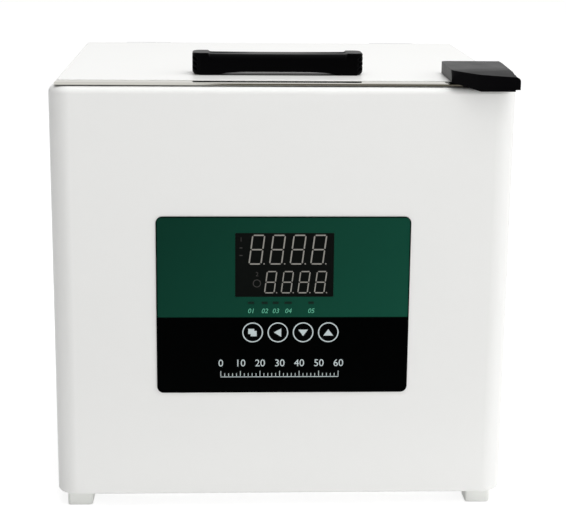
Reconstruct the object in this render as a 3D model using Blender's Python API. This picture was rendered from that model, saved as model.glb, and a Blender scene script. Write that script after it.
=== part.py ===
"""A small benchtop incubator with a hinged lid, modelled piece by piece. Metres, +Z up, front towards -Y."""
import math

import bmesh
import bpy
from mathutils import Matrix, Vector

# Cabinet, without its feet
BODY_WIDTH = 0.340
BODY_DEPTH = 0.300
BODY_HEIGHT = 0.3106
SHEET = 0.0015
CORNER_RADIUS = 0.016
TOP_RADIUS = 0.005
BOTTOM_RADIUS = 0.002
BOTTOM_FLANGE = 0.030
GAP = 0.0003

# Feet
FOOT_HEIGHT = 0.0112
FOOT_SIZE = 0.019
FOOT_CORNER = 0.0025
FOOT_INSET = 0.017

# Chamber and the insulated walls round it
SIDE_WALL = 0.035
FRONT_WALL = 0.045
REAR_WALL = 0.035
FLOOR_WALL = 0.0483
CHAMBER_RADIUS = 0.012
TUB_SHEET = 0.001
TUB_FLANGE = 0.010
MOUTH_WIDTH = 0.010
MOUTH_LIP = 0.005
MOUTH_LIP_THICKNESS = 0.0022

# Heating and sensing
HEATER_THICKNESS = 0.0015
HEATER_HEIGHT = 0.100
HEATER_RAISE = 0.025
PROBE_INSET = 0.060
PROBE_HEIGHT = 0.200
PROBE_RADIUS = 0.002
PROBE_REACH = 0.016
PROBE_LENGTH = 0.034
PROBE_POCKET = 0.011
GROMMET_RADIUS = 0.0065
GROMMET_FLANGE = 0.0015
CUTOUT_RADIUS = 0.008
CUTOUT_LENGTH = 0.007
CUTOUT_HEIGHT = 0.185

# Shelf
SHELF_CLEARANCE = 0.003
SHELF_LEG = 0.014
SHELF_SHEET = 0.0012
SHELF_SLOT_COLUMNS = 3
SHELF_SLOT_ROWS = 8
SHELF_SLOT_WIDTH = 0.010
SHELF_MARGIN = 0.014
SHELF_BRIDGE = 0.012

# Rear and base
BASE_PLATE = 0.0012
REAR_FLANGE = 0.020
REAR_FLANGE_TOP = 0.045
REAR_OVERLAP = 0.008
REAR_SHEET = 0.0012

# Lid
LID_THICKNESS = 0.0042
LID_INSET = 0.0047
LID_SHOULDER = 0.0033
LID_SHOULDER_DROP = 0.0020
LID_CORNER = 0.004
LID_SEAM = 0.0013
LID_LEDGE_RAISE = 0.0018
LID_LEDGE = 0.0093
LID_SKIRT = 0.002
LID_PANEL = 0.0012
PAN_SHEET = 0.0008
PAN_DEPTH = 0.020
PAN_CLEARANCE = 0.004
GASKET_START = 0.002
GASKET_WIDTH = 0.007

# Hinges
HINGE_INSET = 0.060
HINGE_LENGTH = 0.040
HINGE_KNUCKLE = 0.014
HINGE_LEAF = 0.0012
HINGE_BARREL = 0.0026
HINGE_PIN = 0.0012
HINGE_REACH = 0.024
HINGE_DROP = 0.030

# Lid handle
HANDLE_LENGTH = 0.1269
HANDLE_DEPTH = 0.025
HANDLE_HEIGHT = 0.0164
HANDLE_X = -0.0030
HANDLE_SETBACK = 0.040
HANDLE_WALL = 0.0035
HANDLE_END = 0.02245
HANDLE_LIP_GAP = 0.0025
HANDLE_ROUND = 0.003
SCREW_RADIUS = 0.002
SCREW_HEAD = 0.0035
SCREW_HEAD_HEIGHT = 0.002
SCREW_LENGTH = 0.010
SCREW_INSET = 0.01025

# Corner latch
LATCH_OVERHANG = 0.008
LATCH_RIGHT = 0.004
LATCH_WIDTH = 0.0455
LATCH_BACK = 0.063
LATCH_HEIGHT = 0.0089
LATCH_LIP = 0.0035
LATCH_LIP_SIDE = 0.0035
LATCH_DROP = 0.0013
LATCH_FRONT_RISE = 0.0054
LATCH_STEP = 0.0012
LATCH_NOSE = 0.0206
LATCH_TAPER = 0.0012
LATCH_FACET = 0.018
LATCH_TRAVEL = 0.0055
RAIL_WIDTH = 0.023
RAIL_FOOT = 0.015
RAIL_INSET = 0.0045
RAIL_START = 0.016
RAIL_LENGTH = 0.036
RAIL_FOOT_HEIGHT = 0.002
RAIL_HEIGHT = 0.0038
HOOK_WIDTH = 0.008
HOOK_INSET = 0.012
HOOK_START = 0.020
HOOK_SHEET = 0.002
HOOK_TOE = 0.004
HOOK_DROP = 0.010
HOOK_BURIED = 0.005
KEEPER_REACH = 0.012
KEEPER_SHEET = 0.0015
KEEPER_DROP = 0.005
SLOT_CLEARANCE = 0.002

# Control panel
PANEL_WIDTH = 0.1876
PANEL_X = 0.0007
PANEL_HEIGHT = 0.135
PANEL_CENTRE = 0.1489
PANEL_RADIUS = 0.005
PANEL_SHEET = 0.0005
WINDOW_WIDTH = 0.0726
WINDOW_HEIGHT = 0.0482
WINDOW_X = 0.0015
WINDOW_CENTRE = 0.1799
KEY_COUNT = 4
KEY_PITCH = 0.0188
KEY_X = 0.0064
KEY_CENTRE = 0.1284
KEY_RADIUS = 0.0080
KEY_PROUD = 0.0002
KEY_THICKNESS = 0.0022
KEY_STEM = 0.0025
KEY_STEM_LENGTH = 0.0033
KEY_TRAVEL = 0.0006
BEZEL_THICKNESS = 0.002
BEZEL_MARGIN = 0.007
CASE_DEPTH = 0.034
CASE_WALL = 0.0015
CASE_FLANGE = 0.004
BOARD_SHEET = 0.0016
BOARD_DEPTH = 0.012
SWITCH_SIZE = 0.006
SWITCH_HEIGHT = 0.0035
SWITCH_STEM = 0.0017
POWER_BOARD_DEPTH = 0.031
RELAY_SIZE = (0.020, 0.010, 0.016)

# Rear connections
CONNECTION_HEIGHT = 0.0763
INLET_INSET = 0.075
INLET_WIDTH = 0.028
INLET_HEIGHT = 0.021
INLET_DEPTH = 0.018
INLET_WALL = 0.002
INLET_FLANGE_WIDTH = 0.048
INLET_FLANGE = 0.002
INLET_PIN = (0.002, 0.004)
INLET_PIN_PITCH = 0.007
INLET_PIN_RISE = 0.002
FUSE_INSET = 0.0415
FUSE_RADIUS = 0.006
FUSE_CAP = 0.0075
FUSE_DEPTH = 0.016
ROCKER_INSET = 0.125
ROCKER_WIDTH = 0.013
ROCKER_HEIGHT = 0.019
ROCKER_FRAME = 0.0015
ROCKER_DEPTH = 0.012
ROCKER_TILT = 8.0
ROCKER_PIVOT = 0.0025
ROCKER_DISH = 0.001
ROCKER_BACK = 0.003

# Places worked out from the sizes above
BASE = FOOT_HEIGHT
TOP = BASE + BODY_HEIGHT
LEFT = -BODY_WIDTH / 2
RIGHT = BODY_WIDTH / 2
REAR_OVERHANG = GAP + 2 * HINGE_BARREL
FRONT = (LATCH_OVERHANG - BODY_DEPTH - REAR_OVERHANG) / 2
BACK = FRONT + BODY_DEPTH
CHAMBER_RIGHT = RIGHT - SIDE_WALL
CHAMBER_FRONT = FRONT + FRONT_WALL
CHAMBER_BACK = BACK - REAR_WALL
CHAMBER_FLOOR = BASE + FLOOR_WALL
PROBE_X = CHAMBER_RIGHT - PROBE_INSET
LIP_TOP = TOP - SHEET - GAP
LIP_BOTTOM = LIP_TOP - MOUTH_LIP_THICKNESS
TUB_TOP = LIP_BOTTOM - GAP
HEATER_OUT = TUB_SHEET + GAP + HEATER_THICKNESS
SLAB_IN = HEATER_OUT + GAP
SLAB_TOP = TUB_TOP - TUB_SHEET - GAP
PLATE_TOP = BASE + SHEET + GAP + BASE_PLATE
FLOOR_TOP = CHAMBER_FLOOR - TUB_SHEET - GAP
LID_TOP = TOP + LID_THICKNESS
PANEL_BOTTOM = LID_TOP - LID_PANEL
LEDGE_TOP = PANEL_BOTTOM - GAP
PAN_BOTTOM = TOP - PAN_DEPTH
PAN_FLANGE = LEDGE_TOP - PAN_SHEET
LEAF_BOTTOM = TOP + GAP
HINGE_Z = LEAF_BOTTOM + HINGE_LEAF / 2
HINGE_Y = BACK + GAP + HINGE_BARREL
HINGE_X = RIGHT - HINGE_INSET
REAR_FACE = BACK + GAP + REAR_SHEET
INLET_X = RIGHT - INLET_INSET
FUSE_X = RIGHT - FUSE_INSET
ROCKER_X = RIGHT - ROCKER_INSET
LATCH_X1 = RIGHT - LATCH_RIGHT
LATCH_X0 = LATCH_X1 - LATCH_WIDTH
LATCH_BASE = LID_TOP + GAP
LATCH_TOP = LID_TOP + LATCH_HEIGHT
HOOK_X = LATCH_X1 - HOOK_INSET + HOOK_WIDTH / 2
PANEL_FACE = FRONT - GAP - PANEL_SHEET
ARC_STEPS = 5


def material(name, colour, roughness, metallic=0.0):
    """A plain finish, made once and shared by name."""
    found = bpy.data.materials.get(name)
    if found:
        return found
    made = bpy.data.materials.new(name)
    made.use_nodes = True
    shader = made.node_tree.nodes["Principled BSDF"]
    shader.inputs["Base Color"].default_value = (*colour, 1.0)
    shader.inputs["Roughness"].default_value = roughness
    shader.inputs["Metallic"].default_value = metallic
    return made


def white_paint():
    return material("white_paint", (0.86, 0.86, 0.85), 0.35)


def polished_steel():
    return material("polished_steel", (0.62, 0.60, 0.57), 0.2, 1.0)


def stainless():
    return material("stainless", (0.55, 0.56, 0.57), 0.3, 1.0)


def black_plastic():
    return material("black_plastic", (0.02, 0.02, 0.022), 0.4)


def grey_rubber():
    return material("grey_rubber", (0.62, 0.63, 0.64), 0.7)


def black_rubber():
    return material("black_rubber", (0.03, 0.03, 0.03), 0.8)


def foam():
    return material("foam", (0.75, 0.72, 0.60), 0.9)


def board_green():
    return material("board_green", (0.02, 0.18, 0.08), 0.5)


def overlay_film():
    return material("overlay_film", (0.01, 0.08, 0.06), 0.3)


def smoked_lens():
    return material("smoked_lens", (0.02, 0.015, 0.015), 0.1)


def key_film():
    return material("key_film", (0.05, 0.06, 0.06), 0.4)


def amber_film():
    return material("amber_film", (0.55, 0.25, 0.05), 0.5)


def rounded_rect(x0, x1, y0, y1, radius, steps=ARC_STEPS):
    """Corner points of a rectangle with round corners, anticlockwise from the front left."""
    centres = (
        (x0 + radius, y0 + radius, 180),
        (x1 - radius, y0 + radius, 270),
        (x1 - radius, y1 - radius, 0),
        (x0 + radius, y1 - radius, 90),
    )
    points = []
    for cx, cy, start in centres:
        for step in range(steps + 1):
            angle = math.radians(start + 90 * step / steps)
            points.append((cx + radius * math.cos(angle), cy + radius * math.sin(angle)))
    return points


def arc(cx, cy, radius_x, radius_y, start, end, steps=ARC_STEPS):
    """Points along part of an ellipse, from one angle to another in degrees."""
    points = []
    for step in range(steps + 1):
        angle = math.radians(start + (end - start) * step / steps)
        points.append((cx + radius_x * math.cos(angle), cy + radius_y * math.sin(angle)))
    return points


def add_object(name, mesh, finish=None, smooth=None):
    """A mesh object in the scene, with sharp edges kept where it is shaded smooth."""
    thing = bpy.data.objects.new(name, mesh)
    bpy.context.collection.objects.link(thing)
    if finish:
        mesh.materials.append(finish)
    if smooth:
        mesh.shade_smooth()
        mesh.set_sharp_from_angle(angle=math.radians(smooth))
    return thing


def build_mesh(name, shape):
    """Turns a bmesh into a mesh with its faces pointing out."""
    bmesh.ops.recalc_face_normals(shape, faces=shape.faces)
    mesh = bpy.data.meshes.new(name)
    shape.to_mesh(mesh)
    shape.free()
    return mesh


def loft(name, loops, finish=None, closed=False, smooth=30):
    """Joins rings of points into one skin, closed on itself or capped at both ends."""
    shape = bmesh.new()
    rings = [[shape.verts.new(point) for point in loop] for loop in loops]
    pairs = list(zip(rings, rings[1:]))
    if closed:
        pairs.append((rings[-1], rings[0]))
    for low, high in pairs:
        for index in range(len(low)):
            after = (index + 1) % len(low)
            shape.faces.new((low[index], low[after], high[after], high[index]))
    if not closed:
        shape.faces.new(rings[0])
        shape.faces.new(rings[-1])
    return add_object(name, build_mesh(name, shape), finish, smooth)


def prism(name, outline, z0, z1, finish=None, smooth=None):
    """An outline in the XY plane, drawn up from one height to another."""
    loops = [[(x, y, z) for x, y in outline] for z in (z0, z1)]
    return loft(name, loops, finish, smooth=smooth)


def prism_y(name, outline, y0, y1, finish=None, smooth=None):
    """An outline in the XZ plane, drawn back from one depth to another."""
    loops = [[(x, y, z) for x, z in outline] for y in (y0, y1)]
    return loft(name, loops, finish, smooth=smooth)


def prism_x(name, outline, x0, x1, finish=None, smooth=None):
    """An outline in the YZ plane, drawn across from one side to another."""
    loops = [[(x, y, z) for y, z in outline] for x in (x0, x1)]
    return loft(name, loops, finish, smooth=smooth)


def block(name, x, y, z, finish=None):
    """A plain box between pairs of values along each axis."""
    outline = ((x[0], y[0]), (x[1], y[0]), (x[1], y[1]), (x[0], y[1]))
    return prism(name, outline, z[0], z[1], finish)


def rod(name, centre, axis, radius, length, finish=None, sides=20):
    """A round bar that starts at its centre point and runs along the axis."""
    turn = Vector(axis).to_track_quat("Z", "Y").to_matrix().to_4x4()
    place = Matrix.Translation(centre) @ turn
    circle = arc(0, 0, radius, radius, 0, 360 * (sides - 1) / sides, sides - 1)
    loops = [[place @ Vector((x, y, z)) for x, y in circle] for z in (0, length)]
    return loft(name, loops, finish)


def stepped_rod(name, centre, axis, profile, finish=None, sides=20):
    """A turned piece: each profile entry is a radius and a distance along the axis."""
    turn = Vector(axis).to_track_quat("Z", "Y").to_matrix().to_4x4()
    place = Matrix.Translation(centre) @ turn
    loops = []
    for radius, along in profile:
        circle = arc(0, 0, radius, radius, 0, 360 * (sides - 1) / sides, sides - 1)
        loops.append([place @ Vector((x, y, along)) for x, y in circle])
    return loft(name, loops, finish)


def combine(thing, tool, operation):
    """Applies one solid to another as a Boolean, with the tool hidden."""
    tool.hide_render = True
    tool.display_type = "WIRE"
    modifier = thing.modifiers.new(tool.name, "BOOLEAN")
    modifier.operation = operation
    modifier.object = tool


def carve(thing, *tools):
    for tool in tools:
        combine(thing, tool, "DIFFERENCE")


def join(thing, *tools):
    for tool in tools:
        combine(thing, tool, "UNION")


def body_loop(inset, z, radius=None):
    """A ring round the cabinet, drawn in from its sides."""
    corner = max(CORNER_RADIUS - inset, 0.002) if radius is None else radius
    outline = rounded_rect(LEFT + inset, RIGHT - inset, FRONT + inset, BACK - inset, corner)
    return [(x, y, z) for x, y in outline]


def chamber_outline(outset):
    """The chamber's plan, drawn out from its inner walls."""
    half = CHAMBER_RIGHT + outset
    corner = CHAMBER_RADIUS + outset
    return rounded_rect(-half, half, CHAMBER_FRONT - outset, CHAMBER_BACK + outset, corner)


def chamber_loop(outset, z):
    return [(x, y, z) for x, y in chamber_outline(outset)]


def lid_loop(inset, z):
    """A ring round the lid, drawn in from the cabinet's sides."""
    corner = max(LID_CORNER - (inset - LID_INSET), 0.001)
    return body_loop(inset, z, corner)


def mirrored(name, shapes):
    """Builds the same piece on the left and on the right."""
    for side, sign in (("left", -1), ("right", 1)):
        shapes(f"{name}_{side}", sign)


def outer_shell():
    """Folded sheet: the four sides with the top and bottom flanges, open above, below and behind."""
    opening = MOUTH_WIDTH + GAP
    inner_top = TOP_RADIUS - SHEET
    inner_bottom = BOTTOM_RADIUS - SHEET
    loops = [body_loop(BOTTOM_FLANGE, BASE)]
    for inset, z in arc(BOTTOM_RADIUS, BASE + BOTTOM_RADIUS, BOTTOM_RADIUS, BOTTOM_RADIUS, 270, 180, 3):
        loops.append(body_loop(inset, z))
    for inset, z in arc(TOP_RADIUS, TOP - TOP_RADIUS, TOP_RADIUS, TOP_RADIUS, 180, 90, 4):
        loops.append(body_loop(inset, z))
    loops.append(chamber_loop(opening, TOP))
    loops.append(chamber_loop(opening, TOP - SHEET))
    for inset, z in arc(TOP_RADIUS, TOP - TOP_RADIUS, inner_top, inner_top, 90, 180, 4):
        loops.append(body_loop(inset, z))
    for inset, z in arc(BOTTOM_RADIUS, BASE + BOTTOM_RADIUS, inner_bottom, inner_bottom, 180, 270, 3):
        loops.append(body_loop(inset, z))
    loops.append(body_loop(BOTTOM_FLANGE, BASE + SHEET))
    shell = loft("outer_shell", loops, white_paint(), closed=True)
    x0, x1, z0, z1 = rear_opening()
    rear = prism_y("cut_rear", rounded_rect(x0, x1, z0, z1, REAR_OVERLAP / 2), BACK - 2 * SHEET, BACK + SHEET)
    x0, x1, z0, z1 = bezel_bounds(GAP)
    panel = prism_y("cut_panel", rounded_rect(x0, x1, z0, z1, PANEL_RADIUS), FRONT - SHEET, FRONT + 2 * SHEET)
    carve(shell, rear, panel, hook_slot("cut_hook_body", TOP - 2 * SHEET, TOP + SHEET, SLOT_CLEARANCE))


def rear_opening():
    """Left, right, lower and upper limits of the opening behind the chamber."""
    return LEFT + REAR_FLANGE, RIGHT - REAR_FLANGE, BASE + REAR_FLANGE, TOP - REAR_FLANGE_TOP


def rear_cover():
    """Flat sheet over the rear opening, cut for the power inlet, the fuse holder and the switch."""
    x0, x1, z0, z1 = rear_opening()
    outline = rounded_rect(x0 - REAR_OVERLAP, x1 + REAR_OVERLAP, z0 - REAR_OVERLAP, z1 + REAR_OVERLAP, REAR_OVERLAP)
    cover = prism_y("rear_cover", outline, BACK + GAP, REAR_FACE, white_paint())
    deep = (BACK - SHEET, REAR_FACE + SHEET)
    centre = BASE + CONNECTION_HEIGHT
    inlet = block("cut_inlet", around(INLET_X, INLET_WIDTH + 2 * GAP), deep, around(centre, INLET_HEIGHT + 2 * GAP))
    rocker = block("cut_rocker", around(ROCKER_X, ROCKER_WIDTH + 2 * GAP), deep,
                   around(centre, ROCKER_HEIGHT + 2 * GAP))
    fuse = rod("cut_fuse", (FUSE_X, deep[0], centre), (0, 1, 0), FUSE_RADIUS + GAP, deep[1] - deep[0])
    carve(cover, inlet, rocker, fuse)


def around(centre, width):
    """The two ends of a width about a centre."""
    return centre - width / 2, centre + width / 2


def base_plate():
    """Sheet that closes the bottom, laid on the shell's bottom flange."""
    outline = [(x, y) for x, y, z in body_loop(BOTTOM_RADIUS, 0)]
    prism("base_plate", outline, BASE + SHEET + GAP, PLATE_TOP, stainless())


def chamber_tub():
    """Deep-drawn liner with a flange under the mouth frame and a hole for the probe."""
    loops = [
        chamber_loop(TUB_SHEET, CHAMBER_FLOOR - TUB_SHEET),
        chamber_loop(TUB_SHEET, TUB_TOP - TUB_SHEET),
        chamber_loop(TUB_FLANGE, TUB_TOP - TUB_SHEET),
        chamber_loop(TUB_FLANGE, TUB_TOP),
        chamber_loop(0, TUB_TOP),
        chamber_loop(0, CHAMBER_FLOOR),
    ]
    tub = loft("chamber_tub", loops, stainless())
    start = (PROBE_X, CHAMBER_FRONT - 2 * TUB_SHEET, BASE + PROBE_HEIGHT)
    hole = rod("cut_probe_tub", start, (0, 1, 0), GROMMET_RADIUS - GROMMET_FLANGE, 3 * TUB_SHEET)
    carve(tub, hole)


def mouth_frame():
    """Plastic ring that lines the chamber's mouth, with a lip under the shell's top."""
    outer = MOUTH_WIDTH + MOUTH_LIP
    loops = [
        chamber_loop(0, TOP),
        chamber_loop(MOUTH_WIDTH, TOP),
        chamber_loop(MOUTH_WIDTH, LIP_TOP),
        chamber_loop(outer, LIP_TOP),
        chamber_loop(outer, LIP_BOTTOM),
        chamber_loop(0, LIP_BOTTOM),
    ]
    loft("mouth_frame", loops, material("mouth_plastic", (0.78, 0.78, 0.77), 0.5), closed=True)


def slab_corner():
    return CORNER_RADIUS - SHEET - GAP


def insulation():
    """Foam slabs between the tub and the sheet metal, with pockets for what sits in them."""
    edge = SHEET + GAP
    heights = (FLOOR_TOP + GAP, SLAB_TOP)
    inner = CHAMBER_RIGHT + SLAB_IN
    floor_outline = [(x, y) for x, y, z in body_loop(BOTTOM_RADIUS, 0)]
    prism("insulation_floor", floor_outline, PLATE_TOP + GAP, FLOOR_TOP, foam())
    for side, sign in (("left", -1), ("right", 1)):
        corner = slab_corner()
        far = BODY_WIDTH / 2 - edge
        outline = [(inner, FRONT + edge)]
        outline += arc(far - corner, FRONT + edge + corner, corner, corner, 270, 360)
        outline += arc(far - corner, BACK - edge - corner, corner, corner, 0, 90)
        outline += [(inner, BACK - edge)]
        slab = prism(f"insulation_{side}", [(sign * x, y) for x, y in outline], *heights, foam())
        if sign > 0:
            x, y, z = keeper_bounds()
            pocket = block("cut_keeper_pocket", (x[0] - GAP, RIGHT), (FRONT + HOOK_START - 2 * SLOT_CLEARANCE,
                           y[1] + GAP), (TOP - HOOK_DROP - SLOT_CLEARANCE, TOP))
            carve(slab, pocket)
    span = (-inner + GAP, inner - GAP)
    front = block("insulation_front", span, (FRONT + edge, CHAMBER_FRONT - SLAB_IN), heights, foam())
    x0, x1, z0, z1 = case_bounds(GAP)
    case = block("cut_case", (x0, x1), (FRONT, FRONT + edge + CASE_DEPTH + GAP), (z0, z1))
    probe = rod("cut_probe_slab", (PROBE_X, FRONT + PROBE_POCKET, BASE + PROBE_HEIGHT), (0, 1, 0),
                GROMMET_RADIUS + GAP, FRONT_WALL)
    carve(front, case, probe)
    rear = block("insulation_rear", span, (CHAMBER_BACK + SLAB_IN, BACK - edge), heights, foam())
    centre = BASE + CONNECTION_HEIGHT
    low, high = around(centre, INLET_HEIGHT + 4 * SLOT_CLEARANCE)
    bay = block("cut_connection_bay", (ROCKER_X - ROCKER_WIDTH, FUSE_X + FUSE_RADIUS + SLOT_CLEARANCE),
                (BACK - INLET_DEPTH - SLOT_CLEARANCE, BACK), (low, high))
    cutout = rod("cut_cutout_slab", (0, CHAMBER_BACK, BASE + CUTOUT_HEIGHT), (0, 1, 0), CUTOUT_RADIUS + GAP,
                 HEATER_OUT + CUTOUT_LENGTH + GAP)
    carve(rear, bay, cutout)


def heater_band():
    """Silicone heating band wrapped round the tub's lower half."""
    low = CHAMBER_FLOOR + HEATER_RAISE
    inner = TUB_SHEET + GAP
    loops = [chamber_loop(inner, low), chamber_loop(HEATER_OUT, low),
             chamber_loop(HEATER_OUT, low + HEATER_HEIGHT), chamber_loop(inner, low + HEATER_HEIGHT)]
    loft("heater_band", loops, amber_film(), closed=True)


def temperature_probe():
    """Steel probe through the tub's front wall, in a rubber grommet."""
    z = BASE + PROBE_HEIGHT
    start = (PROBE_X, CHAMBER_FRONT + PROBE_REACH - PROBE_LENGTH, z)
    tip = PROBE_RADIUS / 2
    profile = ((PROBE_RADIUS, 0), (PROBE_RADIUS, PROBE_LENGTH - tip), (tip, PROBE_LENGTH))
    stepped_rod("temperature_probe", start, (0, 1, 0), profile, stainless(), 12)
    neck = GROMMET_RADIUS - GROMMET_FLANGE - GAP
    wall = TUB_SHEET + 2 * GAP
    near = CHAMBER_FRONT - TUB_SHEET - GAP - GROMMET_FLANGE
    profile = ((GROMMET_RADIUS, 0), (GROMMET_RADIUS, GROMMET_FLANGE), (neck, GROMMET_FLANGE),
               (neck, GROMMET_FLANGE + wall), (GROMMET_RADIUS, GROMMET_FLANGE + wall),
               (GROMMET_RADIUS, 2 * GROMMET_FLANGE + wall))
    grommet = stepped_rod("probe_grommet", (PROBE_X, near, z), (0, 1, 0), profile, black_rubber(), 16)
    bore = rod("cut_grommet", (PROBE_X, near - GAP, z), (0, 1, 0), PROBE_RADIUS + GAP,
               2 * GROMMET_FLANGE + wall + 2 * GAP, sides=12)
    carve(grommet, bore)


def overheat_cutout():
    """Disc thermostat that sits on the tub's rear wall above the heater."""
    start = (0, CHAMBER_BACK + TUB_SHEET + GAP, BASE + CUTOUT_HEIGHT)
    profile = ((CUTOUT_RADIUS, 0), (CUTOUT_RADIUS, CUTOUT_LENGTH / 2), (CUTOUT_RADIUS / 2, CUTOUT_LENGTH / 2),
               (CUTOUT_RADIUS / 2, CUTOUT_LENGTH))
    stepped_rod("overheat_cutout", start, (0, 1, 0), profile, black_plastic(), 16)


def perforated_shelf():
    """Slotted sheet folded down at both sides, which stands on the chamber's floor."""
    half = CHAMBER_RIGHT - CHAMBER_RADIUS
    low = CHAMBER_FLOOR + GAP
    high = low + SHELF_LEG
    front = CHAMBER_FRONT + SHELF_CLEARANCE
    back = CHAMBER_BACK - SHELF_CLEARANCE
    outline = [(-half, low), (-half + SHELF_SHEET, low), (-half + SHELF_SHEET, high - SHELF_SHEET),
               (half - SHELF_SHEET, high - SHELF_SHEET), (half - SHELF_SHEET, low), (half, low),
               (half, high), (-half, high)]
    shelf = prism_y("perforated_shelf", outline, front, back, stainless())
    width = 2 * (half - SHELF_MARGIN)
    slot = (width - (SHELF_SLOT_COLUMNS - 1) * SHELF_BRIDGE) / SHELF_SLOT_COLUMNS
    pitch = (back - front - 2 * SHELF_MARGIN - SHELF_SLOT_WIDTH) / (SHELF_SLOT_ROWS - 1)
    for column in range(SHELF_SLOT_COLUMNS):
        x = -half + SHELF_MARGIN + column * (slot + SHELF_BRIDGE)
        for row in range(SHELF_SLOT_ROWS):
            y = front + SHELF_MARGIN + row * pitch
            hole = block(f"cut_shelf_{column}_{row}", (x, x + slot), (y, y + SHELF_SLOT_WIDTH),
                         (high - 2 * SHELF_SHEET, high + SHELF_SHEET))
            carve(shelf, hole)


def feet():
    """Square rubber feet with round corners under the bottom flange."""
    for row, y in (("front", FRONT + FOOT_INSET), ("rear", BACK - FOOT_INSET)):
        for side, x in (("left", LEFT + FOOT_INSET), ("right", RIGHT - FOOT_INSET)):
            outline = rounded_rect(*around(x, FOOT_SIZE), *around(y, FOOT_SIZE), FOOT_CORNER)
            prism(f"foot_{row}_{side}", outline, 0, FOOT_HEIGHT - GAP, grey_rubber())


def bezel_bounds(clearance=0.0):
    """Left, right, lower and upper limits of the opening that holds the window and the keys."""
    half = WINDOW_WIDTH / 2 + BEZEL_MARGIN + clearance
    return (WINDOW_X - half, WINDOW_X + half, BASE + KEY_CENTRE - KEY_RADIUS - BEZEL_MARGIN - clearance,
            BASE + WINDOW_CENTRE + WINDOW_HEIGHT / 2 + BEZEL_MARGIN / 2 + clearance)


def case_bounds(clearance=0.0):
    x0, x1, z0, z1 = bezel_bounds(CASE_FLANGE + clearance)
    return x0, x1, z0, z1


def key_places():
    """The keys' centres, from the left."""
    first = KEY_X - KEY_PITCH * (KEY_COUNT - 1) / 2
    return [(first + index * KEY_PITCH, BASE + KEY_CENTRE) for index in range(KEY_COUNT)]


def key_holes(name, y0, y1):
    return [rod(f"cut_{name}_{index}", (x, y0, z), (0, 1, 0), KEY_RADIUS + GAP, y1 - y0, sides=24)
            for index, (x, z) in enumerate(key_places(), 1)]


def window_cutter(name, y, shrink):
    return block(name, around(WINDOW_X, WINDOW_WIDTH - 2 * shrink), y,
                 around(BASE + WINDOW_CENTRE, WINDOW_HEIGHT - 2 * shrink))


def control_overlay():
    """Printed film on the front face, cut out for the window and the keys."""
    outline = rounded_rect(*around(PANEL_X, PANEL_WIDTH), *around(BASE + PANEL_CENTRE, PANEL_HEIGHT), PANEL_RADIUS)
    overlay = prism_y("control_overlay", outline, PANEL_FACE, FRONT - GAP, overlay_film())
    deep = (PANEL_FACE - SHEET, FRONT + SHEET)
    carve(overlay, window_cutter("cut_overlay_window", deep, -GAP), *key_holes("overlay_key", *deep))
    block("display_lens", around(WINDOW_X, WINDOW_WIDTH), (PANEL_FACE, FRONT - GAP),
          around(BASE + WINDOW_CENTRE, WINDOW_HEIGHT), smoked_lens())


def control_bezel():
    """Plate in the shell's opening that carries the lens and guides the keys."""
    x0, x1, z0, z1 = bezel_bounds()
    bezel = prism_y("control_bezel", rounded_rect(x0, x1, z0, z1, PANEL_RADIUS - GAP), FRONT,
                    FRONT + BEZEL_THICKNESS, black_plastic())
    deep = (FRONT - SHEET, FRONT + BEZEL_THICKNESS + SHEET)
    carve(bezel, window_cutter("cut_bezel_window", deep, 2 * SHEET), *key_holes("bezel_key", *deep))


def keys():
    """Round keys with a short stem each."""
    for index, (x, z) in enumerate(key_places(), 1):
        start = (x, PANEL_FACE - KEY_PROUD, z)
        end = KEY_THICKNESS + KEY_STEM_LENGTH
        profile = ((KEY_RADIUS, 0), (KEY_RADIUS, KEY_THICKNESS), (KEY_STEM, KEY_THICKNESS), (KEY_STEM, end))
        stepped_rod(f"key_{index}", start, (0, 1, 0), profile, key_film(), 24)


def key_back():
    """How deep the keys' stems reach at rest."""
    return PANEL_FACE - KEY_PROUD + KEY_THICKNESS + KEY_STEM_LENGTH


def key_switches():
    """Push switches on the board, one behind each key."""
    board = FRONT + BOARD_DEPTH
    for index, (x, z) in enumerate(key_places(), 1):
        half = SWITCH_SIZE / 2
        near = board - GAP - SWITCH_HEIGHT
        tip = key_back() + KEY_TRAVEL + GAP
        loops = []
        for radius, y in ((half * math.sqrt(2), board - GAP), (half * math.sqrt(2), near), (SWITCH_STEM, near),
                          (SWITCH_STEM, tip)):
            turns = [math.radians(45 + 90 * corner) for corner in range(4)]
            loops.append([(x + radius * math.cos(t), y, z + radius * math.sin(t)) for t in turns])
        loft(f"key_switch_{index}", loops, black_plastic(), smooth=None)


def control_case():
    """Open-fronted box in the front insulation that holds the boards."""
    x0, x1, z0, z1 = case_bounds()
    near = FRONT + SHEET + GAP
    case = block("control_case", (x0, x1), (near, near + CASE_DEPTH), (z0, z1), black_plastic())
    hollow = block("cut_case_hollow", (x0 + CASE_WALL, x1 - CASE_WALL), (FRONT, near + CASE_DEPTH - CASE_WALL),
                   (z0 + CASE_WALL, z1 - CASE_WALL))
    carve(case, hollow)


def boards():
    """Display, control board, power board and heater relay, stacked in the case."""
    x0, x1, z0, z1 = case_bounds(-CASE_WALL - GAP)
    board = FRONT + BOARD_DEPTH
    block("control_board", (x0, x1), (board, board + BOARD_SHEET), (z0, z1), board_green())
    shrink = 2 * SHEET
    block("display_module", around(WINDOW_X, WINDOW_WIDTH - 2 * shrink), (FRONT + BEZEL_THICKNESS + GAP, board - GAP),
          around(BASE + WINDOW_CENTRE, WINDOW_HEIGHT - 2 * shrink), black_plastic())
    power = FRONT + POWER_BOARD_DEPTH
    block("power_board", (x0, x1), (power, power + BOARD_SHEET), (z0, z1), board_green())
    width, depth, height = RELAY_SIZE
    block("heater_relay", around(WINDOW_X, width), (power - GAP - depth, power - GAP),
          around(BASE + WINDOW_CENTRE, height), material("relay_case", (0.05, 0.12, 0.35), 0.4))


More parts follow.
